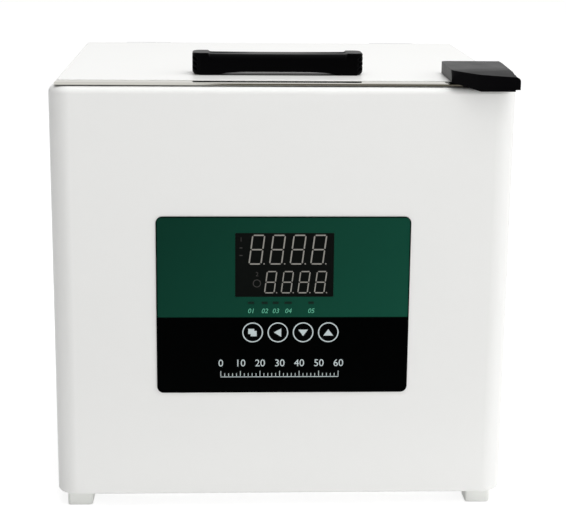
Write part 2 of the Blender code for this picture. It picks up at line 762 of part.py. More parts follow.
def power_inlet():
    """Recessed appliance inlet with three flat pins."""
    centre = BASE + CONNECTION_HEIGHT
    face = REAR_FACE + GAP
    inlet = block("power_inlet", around(INLET_X, INLET_FLANGE_WIDTH), (face, face + INLET_FLANGE),
                  around(centre, INLET_HEIGHT + INLET_WALL), black_plastic())
    body = block("join_inlet_body", around(INLET_X, INLET_WIDTH), (BACK - INLET_DEPTH, face + INLET_FLANGE / 2),
                 around(centre, INLET_HEIGHT))
    socket = block("cut_socket", around(INLET_X, INLET_WIDTH - 2 * INLET_WALL),
                   (BACK - INLET_DEPTH + INLET_WALL, face + 2 * INLET_FLANGE),
                   around(centre, INLET_HEIGHT - 2 * INLET_WALL))
    join(inlet, body)
    carve(inlet, socket)
    for index, (step, rise) in enumerate(((-1, -1), (0, 1), (1, -1)), 1):
        pin = block(f"join_pin_{index}", around(INLET_X + step * INLET_PIN_PITCH, INLET_PIN[0]),
                    (BACK - INLET_DEPTH + INLET_WALL / 2, BACK - INLET_WALL),
                    around(centre + rise * INLET_PIN_RISE, INLET_PIN[1]))
        join(inlet, pin)


def fuse_holder():
    """Panel-mounted fuse holder with a screw cap."""
    centre = BASE + CONNECTION_HEIGHT
    face = REAR_FACE + GAP - (BACK - FUSE_DEPTH)
    profile = ((FUSE_RADIUS, 0), (FUSE_RADIUS, face), (FUSE_CAP, face), (FUSE_CAP, face + INLET_FLANGE))
    stepped_rod("fuse_holder", (FUSE_X, BACK - FUSE_DEPTH, centre), (0, 1, 0), profile, black_plastic())


def rocker_switch():
    """Switch frame with a paddle that tips about a pin across its middle."""
    centre = BASE + CONNECTION_HEIGHT
    face = REAR_FACE + GAP
    frame = block("rocker_frame", around(ROCKER_X, ROCKER_WIDTH + 2 * ROCKER_FRAME), (face, face + ROCKER_FRAME),
                  around(centre, ROCKER_HEIGHT + 2 * ROCKER_FRAME), black_plastic())
    body = block("join_rocker_body", around(ROCKER_X, ROCKER_WIDTH), (BACK - ROCKER_DEPTH, face + ROCKER_FRAME / 2),
                 around(centre, ROCKER_HEIGHT))
    well = block("cut_rocker_well", around(ROCKER_X, ROCKER_WIDTH - 2 * ROCKER_FRAME),
                 (BACK - ROCKER_DEPTH + ROCKER_FRAME, face + 2 * ROCKER_FRAME),
                 around(centre, ROCKER_HEIGHT - 2 * ROCKER_FRAME))
    join(frame, body)
    carve(frame, well)
    half = ROCKER_HEIGHT / 2 - ROCKER_FRAME - 3 * GAP
    front = ROCKER_PIVOT + ROCKER_FRAME
    upright = [(-ROCKER_BACK, 0), (-ROCKER_BACK / 2, -half), (front, -half), (front - ROCKER_DISH, 0), (front, half),
               (-ROCKER_BACK / 2, half)]
    tilt = math.radians(ROCKER_TILT)
    outline = [(face - ROCKER_PIVOT + y * math.cos(tilt) - z * math.sin(tilt),
                centre + y * math.sin(tilt) + z * math.cos(tilt)) for y, z in upright]
    width = around(ROCKER_X, ROCKER_WIDTH - 2 * ROCKER_FRAME - 2 * GAP)
    prism_x("rocker_paddle", outline, *width, black_plastic())


def lid_trim():
    """Polished rim: a rounded shoulder outside and a ledge under the panel."""
    inner = LID_INSET + LID_SHOULDER
    ledge = LID_INSET + LID_LEDGE
    skirt = LID_INSET + LID_SKIRT
    loops = [lid_loop(skirt, TOP + LID_SEAM), lid_loop(LID_INSET, TOP + LID_SEAM)]
    for inset, z in arc(inner, LID_TOP - LID_SHOULDER_DROP, LID_SHOULDER, LID_SHOULDER_DROP, 180, 90, 4):
        loops.append(lid_loop(inset, z))
    loops += [lid_loop(inner, LEDGE_TOP), lid_loop(ledge, LEDGE_TOP), lid_loop(ledge, TOP + LID_LEDGE_RAISE),
              lid_loop(skirt, TOP + LID_LEDGE_RAISE)]
    trim = loft("lid_trim", loops, polished_steel(), closed=True)
    notches = [block(f"cut_leaf_{side}", around(sign * HINGE_X, HINGE_LENGTH + 2 * GAP),
                     (BACK - skirt - GAP, BACK), (TOP, TOP + LID_LEDGE_RAISE))
               for side, sign in (("left", -1), ("right", 1))]
    carve(trim, *notches, hook_slot("cut_hook_trim", TOP, LID_TOP))


def lid_panel():
    """White top sheet inside the rim."""
    inset = LID_INSET + LID_SHOULDER + GAP
    outline = [(x, y) for x, y, z in lid_loop(inset, 0)]
    panel = prism("lid_panel", outline, PANEL_BOTTOM, LID_TOP, white_paint())
    holes = [rod(f"cut_panel_screw_{side}", (x, y, PANEL_BOTTOM - GAP), (0, 0, 1), SCREW_RADIUS + GAP,
                 LID_PANEL + 2 * GAP, sides=12) for side, x, y in screw_places()]
    carve(panel, *holes, hook_slot("cut_hook_panel", PANEL_BOTTOM - SHEET, LID_TOP + SHEET))


def lid_pan():
    """Stainless tray that plugs the chamber's mouth and holds the lid's insulation."""
    flange = LID_INSET + LID_LEDGE + GAP
    wall = -PAN_CLEARANCE
    loops = [
        chamber_loop(wall, PAN_BOTTOM),
        chamber_loop(wall, PAN_FLANGE),
        lid_loop(flange, PAN_FLANGE),
        lid_loop(flange, LEDGE_TOP),
        chamber_loop(wall - PAN_SHEET, LEDGE_TOP),
        chamber_loop(wall - PAN_SHEET, PAN_BOTTOM + PAN_SHEET),
    ]
    pan = loft("lid_pan", loops, stainless())
    carve(pan, hook_slot("cut_hook_pan", PAN_FLANGE - SHEET, LEDGE_TOP + SHEET))
    outline = chamber_outline(wall - PAN_SHEET - GAP)
    foam_block = prism("lid_insulation", outline, PAN_BOTTOM + PAN_SHEET + GAP, LEDGE_TOP, foam())
    depth = SCREW_HEAD_HEIGHT + 2 * GAP
    pockets = [rod(f"cut_foam_screw_{side}", (x, y, LEDGE_TOP - depth), (0, 0, 1), SCREW_HEAD + GAP, depth + GAP,
                   sides=12) for side, x, y in screw_places()]
    carve(foam_block, *pockets)


def lid_gasket():
    """Rubber ring under the pan's flange that seals on the mouth frame."""
    low = TOP + GAP
    high = PAN_FLANGE - GAP
    outer = GASKET_START + GASKET_WIDTH
    loops = [chamber_loop(GASKET_START, low), chamber_loop(outer, low), chamber_loop(outer, high),
             chamber_loop(GASKET_START, high)]
    loft("lid_gasket", loops, black_rubber(), closed=True)


def knuckle_span(sign):
    """The middle knuckle's two ends."""
    return around(sign * HINGE_X, HINGE_KNUCKLE)


def hinge_bore(name, sign):
    x0, x1 = around(sign * HINGE_X, HINGE_LENGTH + 2 * SHEET)
    return rod(name, (x0, HINGE_Y, HINGE_Z), (1, 0, 0), HINGE_PIN + GAP, x1 - x0, sides=12)


def hinge_body_leaf(name, sign):
    """Upright leaf on the cabinet's rear face with the two outer knuckles."""
    near = BACK + GAP
    far = near + HINGE_LEAF
    meet = math.degrees(math.acos((far - HINGE_Y) / HINGE_BARREL))
    outline = [(near, HINGE_Z - HINGE_DROP)]
    outline += arc(HINGE_Y, HINGE_Z, HINGE_BARREL, HINGE_BARREL, 180, -meet, 16)
    outline += [(far, HINGE_Z - HINGE_DROP)]
    leaf = prism_x(name, outline, *around(sign * HINGE_X, HINGE_LENGTH), stainless(), smooth=30)
    x0, x1 = knuckle_span(sign)
    middle = block(f"cut_middle_{name}", (x0, x1), (BACK, HINGE_Y + 2 * HINGE_BARREL),
                   (HINGE_Z - HINGE_BARREL - SHEET, HINGE_Z + 2 * HINGE_BARREL))
    carve(leaf, middle, hinge_bore(f"cut_bore_{name}", sign))


def hinge_lid_leaf(name, sign):
    """Flat leaf under the lid's rim with the middle knuckle."""
    half = HINGE_LEAF / 2
    meet = math.degrees(math.asin(half / HINGE_BARREL))
    outline = [(BACK - HINGE_REACH, HINGE_Z - half)]
    outline += arc(HINGE_Y, HINGE_Z, HINGE_BARREL, HINGE_BARREL, 180 + meet, 540 - meet, 16)
    outline += [(BACK - HINGE_REACH, HINGE_Z + half)]
    leaf = prism_x(name, outline, *around(sign * HINGE_X, HINGE_LENGTH), stainless(), smooth=30)
    x0, x1 = around(sign * HINGE_X, HINGE_KNUCKLE - 2 * GAP)
    end0, end1 = around(sign * HINGE_X, HINGE_LENGTH + 2 * SHEET)
    deep = (BACK - GAP, HINGE_Y + 2 * HINGE_BARREL)
    tall = around(HINGE_Z, 4 * HINGE_BARREL)
    carve(leaf, block(f"cut_low_{name}", (end0, x0), deep, tall), block(f"cut_high_{name}", (x1, end1), deep, tall),
          hinge_bore(f"cut_bore_{name}", sign))


def hinge_pin(name, sign):
    x0, x1 = around(sign * HINGE_X, HINGE_LENGTH)
    rod(name, (x0, HINGE_Y, HINGE_Z), (1, 0, 0), HINGE_PIN, x1 - x0, stainless(), 12)


def screw_places():
    """The handle's two screws, in the thick ends of the handle."""
    y = FRONT + HANDLE_SETBACK + HANDLE_DEPTH / 2 + HANDLE_WALL
    reach = HANDLE_LENGTH / 2 - SCREW_INSET
    return [("left", HANDLE_X - reach, y), ("right", HANDLE_X + reach, y)]


def lid_handle():
    """Low moulded handle with round ends, hollowed for the fingers from behind."""
    x = around(HANDLE_X, HANDLE_LENGTH)
    y = (FRONT + HANDLE_SETBACK, FRONT + HANDLE_SETBACK + HANDLE_DEPTH)
    low = LID_TOP + GAP
    high = LID_TOP + HANDLE_HEIGHT
    profile = [(0.0, low)] + arc(HANDLE_ROUND, high - HANDLE_ROUND, HANDLE_ROUND, HANDLE_ROUND, 180, 90, 3)
    loops = []
    for inset, z in profile:
        outline = rounded_rect(x[0] + inset, x[1] - inset, y[0] + inset, y[1] - inset,
                               HANDLE_DEPTH / 2 - inset - GAP)
        loops.append([(px, py, z) for px, py in outline])
    handle = loft("lid_handle", loops, black_plastic())
    span = around(HANDLE_X, HANDLE_LENGTH - 2 * HANDLE_END)
    fingers = block("cut_fingers", span, (y[0] + HANDLE_WALL, y[1] + HANDLE_WALL), (LID_TOP, high - HANDLE_WALL))
    lip = block("cut_handle_lip", span, (y[0] - HANDLE_WALL, y[1] + HANDLE_WALL), (LID_TOP, LID_TOP + HANDLE_LIP_GAP))
    bores = [rod(f"cut_handle_screw_{side}", (sx, sy, LID_TOP), (0, 0, 1), SCREW_RADIUS + GAP,
                 SCREW_LENGTH + SHEET, sides=12) for side, sx, sy in screw_places()]
    carve(handle, fingers, lip, *bores)
    for side, sx, sy in screw_places():
        start = LEDGE_TOP - SCREW_HEAD_HEIGHT
        shank = LID_TOP + SCREW_LENGTH - start
        profile = ((SCREW_HEAD, 0), (SCREW_HEAD, SCREW_HEAD_HEIGHT), (SCREW_RADIUS, SCREW_HEAD_HEIGHT),
                   (SCREW_RADIUS, shank))
        stepped_rod(f"handle_screw_{side}", (sx, sy, start), (0, 0, 1), profile, stainless(), 12)


def hook_slot(name, z0, z1, widen=0.0):
    """Cutter for the hook's way through the lid and the cabinet's top."""
    y0 = FRONT + HOOK_START - SLOT_CLEARANCE - widen / 2
    y1 = FRONT + HOOK_START + HOOK_SHEET + LATCH_TRAVEL + SLOT_CLEARANCE + widen / 2
    return block(name, around(HOOK_X, HOOK_WIDTH + 2 * SLOT_CLEARANCE), (y0, y1), (z0, z1))


def keeper_bounds():
    """Where the keeper lies under the cabinet's top, just behind the hook's slot."""
    x = around(HOOK_X, HOOK_WIDTH + 3 * SLOT_CLEARANCE)
    y0 = FRONT + HOOK_START + HOOK_SHEET + LATCH_TRAVEL + GAP
    return x, (y0, y0 + KEEPER_REACH), (TOP - SHEET - KEEPER_DROP, TOP - SHEET - GAP)


def latch_keeper():
    """Angle bracket under the cabinet's top that the hook's toe goes under."""
    x, y, z = keeper_bounds()
    outline = [(y[0], z[0]), (y[1], z[0]), (y[1], z[1]), (y[1] - KEEPER_SHEET, z[1]),
               (y[1] - KEEPER_SHEET, z[0] + KEEPER_SHEET), (y[0], z[0] + KEEPER_SHEET)]
    prism_x("latch_keeper", outline, *x, stainless())


def latch_hook():
    """Steel hook pressed into the sliding cap, its toe pointing back."""
    low = TOP - HOOK_DROP
    high = LATCH_BASE + HOOK_BURIED
    y0 = FRONT + HOOK_START
    y1 = y0 + HOOK_SHEET
    outline = [(y0, low), (y1 + HOOK_TOE, low), (y1 + HOOK_TOE, low + HOOK_SHEET), (y1, low + HOOK_SHEET),
               (y1, high), (y0, high)]
    prism_x("latch_hook", outline, *around(HOOK_X, HOOK_WIDTH), stainless())


def latch_rail():
    """T-shaped rail on the lid that the cap slides along."""
    centre = LATCH_X0 + RAIL_INSET + RAIL_WIDTH / 2
    foot = around(centre, RAIL_FOOT)
    head = around(centre, RAIL_WIDTH)
    z0, z1, z2 = LATCH_BASE, LATCH_BASE + RAIL_FOOT_HEIGHT, LATCH_BASE + RAIL_HEIGHT
    outline = [(foot[0], z0), (foot[1], z0), (foot[1], z1), (head[1], z1), (head[1], z2), (head[0], z2),
               (head[0], z1), (foot[0], z1)]
    prism_y("latch_rail", outline, FRONT + RAIL_START, FRONT + RAIL_START + RAIL_LENGTH, black_plastic())


def latch_cap():
    """Black sliding cap: a sloping front corner and a lip that hangs in front of the lid."""
    front = FRONT - LATCH_OVERHANG
    inner = front + LATCH_LIP
    lip_right = LATCH_X1 + LATCH_LIP_SIDE
    step = FRONT - LATCH_STEP
    outline = [(LATCH_X0, step), (LATCH_X0 + LATCH_NOSE, front), (lip_right, front), (lip_right, step),
               (LATCH_X1, step), (LATCH_X1, FRONT + LATCH_BACK), (LATCH_X0 + LATCH_TAPER, FRONT + LATCH_BACK)]
    cap = prism("latch_cap", outline, TOP - LATCH_DROP, LATCH_TOP, black_plastic())
    lid_edge = FRONT + LID_INSET - LATCH_TRAVEL - GAP
    wide = (LATCH_X0 - GAP, lip_right + GAP)
    over_lid = block("cut_cap_over_lid", wide, (lid_edge - GAP, FRONT + LATCH_BACK + GAP), (TOP - SHEET, LATCH_BASE))
    over_body = block("cut_cap_over_body", wide, (inner, lid_edge), (TOP - SHEET, TOP + 2 * GAP))
    corner = [(LATCH_X0 - GAP, TOP - SHEET), (LATCH_X0 + LATCH_NOSE, TOP - SHEET), (LATCH_X0 - GAP, LATCH_BASE)]
    nose = prism_y("cut_cap_nose", corner, front - GAP, lid_edge)
    facet_corners = ((LATCH_X0, step, LATCH_TOP), (LATCH_X0 + LATCH_NOSE, front, LID_TOP + LATCH_FRONT_RISE),
                     (lip_right, front, LID_TOP + LATCH_FRONT_RISE))
    centre = LATCH_X0 + RAIL_INSET + RAIL_WIDTH / 2
    rail = (FRONT + RAIL_START - LATCH_TRAVEL - 2 * GAP, FRONT + LATCH_BACK + GAP)
    head = block("cut_cap_head", around(centre, RAIL_WIDTH + 2 * GAP), rail,
                 (LATCH_BASE + RAIL_FOOT_HEIGHT - GAP, LATCH_BASE + RAIL_HEIGHT + GAP))
    foot = block("cut_cap_foot", around(centre, RAIL_FOOT + 2 * GAP), rail,
                 (LATCH_BASE - GAP, LATCH_BASE + RAIL_FOOT_HEIGHT))
    y0 = FRONT + HOOK_START
    hook = block("cut_cap_hook", around(HOOK_X, HOOK_WIDTH + 2 * GAP), (y0 - GAP, y0 + HOOK_SHEET + GAP),
                 (LATCH_BASE - GAP, LATCH_BASE + HOOK_BURIED + GAP))
    carve(cap, over_lid, over_body, nose, facet_cutter(facet_corners), head, foot, hook)


def facet_cutter(corners):
    """A wedge over the plane through the cap's front left corner and its lower front edge."""
    left, mid, right = (Vector(corner) for corner in corners)
    back = Vector((right.x, FRONT + LATCH_FACET, LATCH_TOP))
    lift = Vector((0, 0, LATCH_HEIGHT))
    ahead = Vector((0, -LATCH_LIP, (mid.z - LATCH_TOP) * LATCH_LIP / (FRONT + LATCH_FACET - right.y)))
    low = [left, mid + ahead, right + ahead + Vector((LATCH_LIP, 0, 0)), back + Vector((LATCH_LIP, 0, 0))]
    shape = bmesh.new()
    under = [shape.verts.new(point) for point in low]
    over = [shape.verts.new(point + lift) for point in low]
    shape.faces.new((under[0], under[1], under[2]))
    shape.faces.new((under[0], under[2], under[3]))
    shape.faces.new(over)
    for index in range(4):
        after = (index + 1) % 4
        shape.faces.new((under[index], under[after], over[after], over[index]))
    return add_object("cut_cap_facet", build_mesh("cut_cap_facet", shape))


def build():
    """Clears the scene and makes every piece."""
    for thing in list(bpy.data.objects):
        bpy.data.objects.remove(thing, do_unlink=True)
    for piece in (outer_shell, rear_cover, base_plate, chamber_tub, mouth_frame, insulation, heater_band,
                  temperature_probe, overheat_cutout, perforated_shelf, feet, control_overlay, control_bezel, keys,
                  key_switches, control_case, boards, power_inlet, fuse_holder, rocker_switch, lid_trim, lid_panel,
                  lid_pan, lid_gasket, lid_handle, latch_keeper, latch_hook, latch_rail, latch_cap):
        piece()
    for name, leaf in (("hinge_body_leaf", hinge_body_leaf), ("hinge_lid_leaf", hinge_lid_leaf),
                       ("hinge_pin", hinge_pin)):
        mirrored(name, leaf)


if __name__ == "__main__":
    build()
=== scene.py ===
"""Looks of a small benchtop incubator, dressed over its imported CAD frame. Metres, +Z up, front towards -Y."""
import math

import bmesh
import bpy
import numpy as np
from mathutils import Matrix, Vector


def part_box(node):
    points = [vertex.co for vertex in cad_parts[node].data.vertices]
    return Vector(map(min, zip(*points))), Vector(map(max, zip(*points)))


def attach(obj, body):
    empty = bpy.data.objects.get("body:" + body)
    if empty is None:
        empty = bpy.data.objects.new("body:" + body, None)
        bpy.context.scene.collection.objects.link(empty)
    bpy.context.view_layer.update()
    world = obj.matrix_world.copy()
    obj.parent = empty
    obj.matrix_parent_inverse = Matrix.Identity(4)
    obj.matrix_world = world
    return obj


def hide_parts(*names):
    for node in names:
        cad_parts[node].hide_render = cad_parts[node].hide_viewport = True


bl_info = {
    "name": "Benchtop incubator",
    "version": (1, 0, 0),
    "blender": (4, 5, 0),
    "location": "3D View > Sidebar > Incubator",
    "description": "Dresses the frame of a small lidded incubator with painted, polished and moulded pieces",
    "category": "Add Mesh",
}

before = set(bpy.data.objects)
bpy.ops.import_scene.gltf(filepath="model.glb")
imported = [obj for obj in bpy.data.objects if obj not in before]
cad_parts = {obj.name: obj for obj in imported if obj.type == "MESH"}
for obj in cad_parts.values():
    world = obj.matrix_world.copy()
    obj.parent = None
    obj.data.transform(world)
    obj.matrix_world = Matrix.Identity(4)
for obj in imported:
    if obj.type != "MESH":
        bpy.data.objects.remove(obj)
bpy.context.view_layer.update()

# Places read from the frame
SHELL_LOW, SHELL_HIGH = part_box("outer_shell")
LEFT, FRONT, BASE = SHELL_LOW
RIGHT, BACK, TOP = SHELL_HIGH
COVER_LOW, COVER_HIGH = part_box("rear_cover")
TUB_LOW, TUB_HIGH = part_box("chamber_tub")
MOUTH_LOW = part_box("mouth_frame")[0]
TRIM_LOW, TRIM_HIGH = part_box("lid_trim")
SHEET_LOW, SHEET_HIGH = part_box("lid_panel")
PAN_LOW, PAN_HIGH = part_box("lid_pan")
GASKET_LOW, GASKET_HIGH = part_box("lid_gasket")
HANDLE_LOW, HANDLE_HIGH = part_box("lid_handle")
CAP_LOW, CAP_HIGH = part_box("latch_cap")
RAIL_LOW, RAIL_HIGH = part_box("latch_rail")
HOOK_LOW, HOOK_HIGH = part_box("latch_hook")
FILM_LOW, FILM_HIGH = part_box("control_overlay")
LENS_LOW, LENS_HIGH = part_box("display_lens")
INLET_LOW, INLET_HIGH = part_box("power_inlet")
FUSE_LOW, FUSE_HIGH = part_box("fuse_holder")
ROCKER_LOW, ROCKER_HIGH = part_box("rocker_frame")
SHELF_LOW, SHELF_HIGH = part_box("perforated_shelf")
PROBE_LOW, PROBE_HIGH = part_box("temperature_probe")
PLATE_LOW, PLATE_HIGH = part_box("base_plate")

# Shared: the sheet's thickness, the room between pieces, how far cutters reach past, a soft edge
SHEET = 0.0015
GAP = 0.0003
BEYOND = 0.004
PIECE_EDGE = 0.0003

# Cabinet
CORNER_RADIUS = 0.016
TOP_RADIUS = 0.005
BOTTOM_RADIUS = 0.002
BOTTOM_FLANGE = 0.030
REAR_OVERLAP = 0.008
REAR_CORNER = 0.004
COVER_EDGE = 0.0004
COVER_SCREW_INSET = 0.0045
BASE_SCREW_INSET = BOTTOM_FLANGE * 0.7
BASE_SCREW_SPREAD = 0.02
FOOT_CORNER = 0.0025
FOOT_EDGE = 0.0006
FOOT_WELL = ((0.0050, -0.001), (0.0044, 0.0004), (0.0040, 0.0060))
WASHER_PLACE = 0.0049
WASHER = ((0.0002, 0.0), (0.0026, 0.0), (0.0031, 0.0004), (0.0031, 0.0009), (0.0002, 0.0009))

# Screws
SCREW_RADIUS = 0.0028
SCREW_HEIGHT = 0.0011
SCREW_SUNK = 0.0004
CROSS_LENGTH = 1.1
CROSS_WIDTH = 0.28
CROSS_FLOOR = 0.45
SMALL_SCREW = (0.0024, 0.0008)
INLET_SCREW = (0.0024, 0.0009)

# Chamber and its mouth
CHAMBER_RADIUS = 0.012
TUB_SHEET = 0.001
TUB_FLANGE = 0.010
TUB_FLOOR_ROUND = 0.006
MOUTH_WIDTH = 0.010
MOUTH_LIP = 0.005
MOUTH_LIP_THICKNESS = 0.0022
MOUTH_ROUND = 0.0012
PROBE_HOLE = 0.005
SHELF_SHEET = 0.0012
SHELF_FOLD = 0.0025
SHELF_COLUMNS = 3
SHELF_ROWS = 8
SHELF_SLOT_WIDTH = 0.010
SHELF_MARGIN = 0.014
SHELF_BRIDGE = 0.012

# Lid
LID_CORNER = 0.004
LID_SHOULDER = 0.0014
LID_SHOULDER_DROP = 0.0010
LID_BAND = 0.0049
LID_BAND_DROP = 0.0007
LID_BAND_INSET = 0.0006
LID_BAND_BOW = 0.25
LID_ROLL = 0.0005
LID_RIM_FOOT = 0.0005
LID_LEDGE = 0.0093
LID_LEDGE_RAISE = 0.0018
LID_SKIRT = 0.002
LID_SHEET = 0.0012
LID_SHEET_GAP = 0.0001
LID_SHEET_CORNER = 0.002
PAN_SHEET = 0.0008
PAN_ROUND = 0.003
PAN_CLEARANCE = 0.004
PAN_CORNER = 0.001
SEAL_WIDTH = 0.007
SEAL_BEAD_SHARE = 0.45

# Handle
HANDLE_PAD = 0.0500
HANDLE_PAD_BLEND = 0.0022
HANDLE_PAD_CROWN = 0.0014
HANDLE_PAD_DROP = 0.0012
HANDLE_BAR_DROP = 0.0048
HANDLE_BOW = 0.0004
HANDLE_FOOT = 0.0008
HANDLE_END_FOOT = 0.0026
HANDLE_RIB_START = 0.0016
# Where the foot, the ribs and each rib's wave begin, and how wide their steps are
HANDLE_FOOT_STEP = (0.1, 0.6)
HANDLE_RIB_STEP = (0.25, 0.45)
HANDLE_WAVE_STEP = (0.30, 0.45)
HANDLE_RIB_FADES = (0.08, 0.05)
HANDLE_DROOP = 0.007
HANDLE_CORNER = 0.0062
HANDLE_SLOT = 0.082
HANDLE_SLOT_RISE = 0.0024
HANDLE_SLOT_LOW = 0.0005
HANDLE_WALL = 0.0035
HANDLE_WALL_FOOT = 0.0145
HANDLE_WALL_BEND = (0.0030, 0.0070)
HANDLE_ROOF = 0.0045
HANDLE_ROOF_BEND = 0.002
HANDLE_SEAT = 0.00025

# Corner latch
LATCH_NOSE = 0.0206
LATCH_LIP = 0.0035
LATCH_STEP = 0.0012
LATCH_TAPER = 0.0012
LATCH_BACK_ROUND = 0.004
LATCH_TRAVEL = 0.0055
LATCH_ROUND = 0.003
LATCH_LIP_TOP = 0.0047
LATCH_BLEND = 0.006
LATCH_RISE = 0.0047
LATCH_FACET = 0.018
LATCH_CHAMFER = 0.0055
LATCH_CHAMFER_DROP = 0.0022
LATCH_CHAMFER_START = 0.012
LATCH_EDGE = 0.0011
RAIL_RUN = 0.0061
RAIL_HEAD_DEPTH = 0.0021
RAIL_NECK_DEPTH = 0.0019
RAIL_NECK_INSET = 0.0037
HOOK_STEM = 0.0023
SLOT_CLEARANCE = 0.002

# Hinges
LEAF_EDGE = 0.0002
LEAF_THICKNESS = 0.0012
LEAF_SCREW_PITCH = 0.026
LEAF_SCREW_HEIGHTS = (0.006, 0.017)
PIN_EDGE = 0.0004
PIN_END_SHARE = 0.6

# Control panel
PANEL_RADIUS = 0.005
PANEL_BORDER = 0.0009
PRINT_THICKNESS = 0.00004
PRINT_BASE = FILM_LOW.z - 0.0801
COLOUR_BREAK = PRINT_BASE + 0.1385
KEY_RADIUS = 0.008
KEY_COUNT = 4
KEY_PLAY = 0.00012
KEY_EDGE = 0.00025
KEY_THICKNESS = 0.0022
KEY_STEM = 0.0025
RING_WIDTH = 0.00085
RING_INSET = 0.0003
FILM_EDGE = 0.00022
DIGIT_COUNT = 4
# Rows of digits: name, left edge, pitch, lower edge above the print's base, width and height
DIGIT_ROWS = (
    ("large", -0.0252, 0.01518, 0.1790, 0.0125, 0.0226),
    ("small", -0.0136, 0.01232, 0.1571, 0.0099, 0.0170),
)
INDICATOR_ROWS = (PRINT_BASE + 0.1489, PRINT_BASE + 0.1508)
INDICATORS = ((-0.0256, -0.0207), (-0.0153, -0.0107), (-0.0071, -0.0025), (0.0016, 0.0073), (0.0193, 0.0236))
LABEL_ROW = PRINT_BASE + 0.1435
LABEL_SIZE = 0.0050
LABEL_LEAN = 0.2
SCALE_ROW = PRINT_BASE + 0.1030
SCALE_SIZE = 0.0078
SCALE_LINE = PRINT_BASE + 0.0922
SCALE_LEFT = -0.0455
SCALE_RIGHT = 0.0425
SCALE_STEPS = 6
TICKS_PER_STEP = 5
TICK_HALF = 0.00025
LONG_TICK = 0.0040
SHORT_TICK = 0.0022

# Rear connections
INLET_HOLE = (0.0286, 0.0216)
INLET_BODY = (0.028, 0.021)
INLET_CORNER = 0.006
INLET_FLANGE = 0.002
INLET_FLANGE_EDGE = 0.0004
INLET_SOCKET = (0.012, 0.0085, 0.005)
INLET_SCREW_REACH = 0.0205
ROCKER_HOLE = (0.0136, 0.0196)
FUSE_HOLE = 0.0063
FUSE_BODY = 0.006
FUSE_FLUTES = 24
FUSE_FLUTE_DEPTH = 0.02
FUSE_SLOT = (0.009, 0.0014)
PIN_PITCH = 0.007
PIN_SIZE = (0.002, 0.004)
PADDLE_PIVOT = 0.0025
PADDLE_TILT = math.radians(8)
PADDLE_HALF = 0.0071
PADDLE_FACE = 0.0040
PADDLE_DISH = 0.001

# Fineness of round stretches
ARC = 12
FINE_ARC = 6
SIDES = 48
SMALL_SIDES = 24

# Radius at which the flat ends of turned pieces close
CORE = 0.0002


class IncubatorPaint(bpy.types.PropertyGroup):
    """Finish of the sheet metal"""
    colour: bpy.props.FloatVectorProperty(
        name="Paint colour", description="Colour of the powder coat", subtype="COLOR",
        default=(0.80, 0.80, 0.785))
    roughness: bpy.props.FloatProperty(
        name="Paint roughness", description="How matt the powder coat is", subtype="FACTOR", default=0.36)
    peel: bpy.props.FloatProperty(
        name="Orange peel", description="Depth of the powder coat's fine waves", subtype="FACTOR",
        default=0.05)


class IncubatorPrint(bpy.types.PropertyGroup):
    """Colours and sizes of what is printed on the control panel"""
    green: bpy.props.FloatVectorProperty(
        name="Panel green", description="Upper colour of the panel film", subtype="COLOR",
        default=(0.0045, 0.049, 0.030))
    mark: bpy.props.FloatVectorProperty(
        name="Pale print", description="Colour of the rings, symbols and scale", subtype="COLOR",
        default=(0.50, 0.57, 0.58))
    label: bpy.props.FloatVectorProperty(
        name="Label print", description="Colour of the numbers under the display", subtype="COLOR",
        default=(0.10, 0.46, 0.30))
    slant: bpy.props.FloatProperty(
        name="Digit slant", description="Lean of the display's digits", subtype="ANGLE",
        default=math.radians(7))
    large_stroke: bpy.props.FloatProperty(
        name="Large stroke", description="Width of a bar of the upper digits", subtype="DISTANCE",
        unit="LENGTH", default=0.00098)
    small_stroke: bpy.props.FloatProperty(
        name="Small stroke", description="Width of a bar of the lower digits", subtype="DISTANCE",
        unit="LENGTH", default=0.00084)


class IncubatorHandle(bpy.types.PropertyGroup):
    """Shape of the moulded handle"""
    ribs: bpy.props.IntProperty(
        name="Ribs", description="Grooves round each end of the handle", default=4, min=0)
    rib_depth: bpy.props.FloatProperty(
        name="Rib depth", description="Depth of the grooves", subtype="DISTANCE", unit="LENGTH",
        default=0.0019)
    crown: bpy.props.FloatProperty(
        name="Crown", description="Rounding of the bar's upper edges", subtype="DISTANCE", unit="LENGTH",
        default=0.0050)
    sag: bpy.props.FloatProperty(
        name="Sag", description="How far the bar dips between its ends", subtype="DISTANCE", unit="LENGTH",
        default=0.0006)


class IncubatorStage(bpy.types.PropertyGroup):
    """Light on the stage"""
    sky: bpy.props.FloatProperty(
        name="Sky", description="Strength of the light all round", default=0.50)
    lean: bpy.props.FloatProperty(
        name="Lean", description="How much brighter the sky is on the right than in the middle", default=0.7)
    floor: bpy.props.FloatProperty(
        name="Floor", description="Glow of the floor where it is seen", default=1.55)
    top: bpy.props.FloatProperty(
        name="Top light", description="Power of the light above", unit="POWER", default=21.0)
    side: bpy.props.FloatProperty(
        name="Side light", description="Power of the light on the right", unit="POWER", default=5.5)
    front: bpy.props.FloatProperty(
        name="Front light", description="Power of the light by the camera", unit="POWER", default=11.0)


GROUPS = {
    "incubator_paint": IncubatorPaint,
    "incubator_print": IncubatorPrint,
    "incubator_handle": IncubatorHandle,
    "incubator_stage": IncubatorStage,
}


def settings(name):
    """One of the scene's groups of settings."""
    return getattr(bpy.context.scene, f"incubator_{name}")


# Outlines

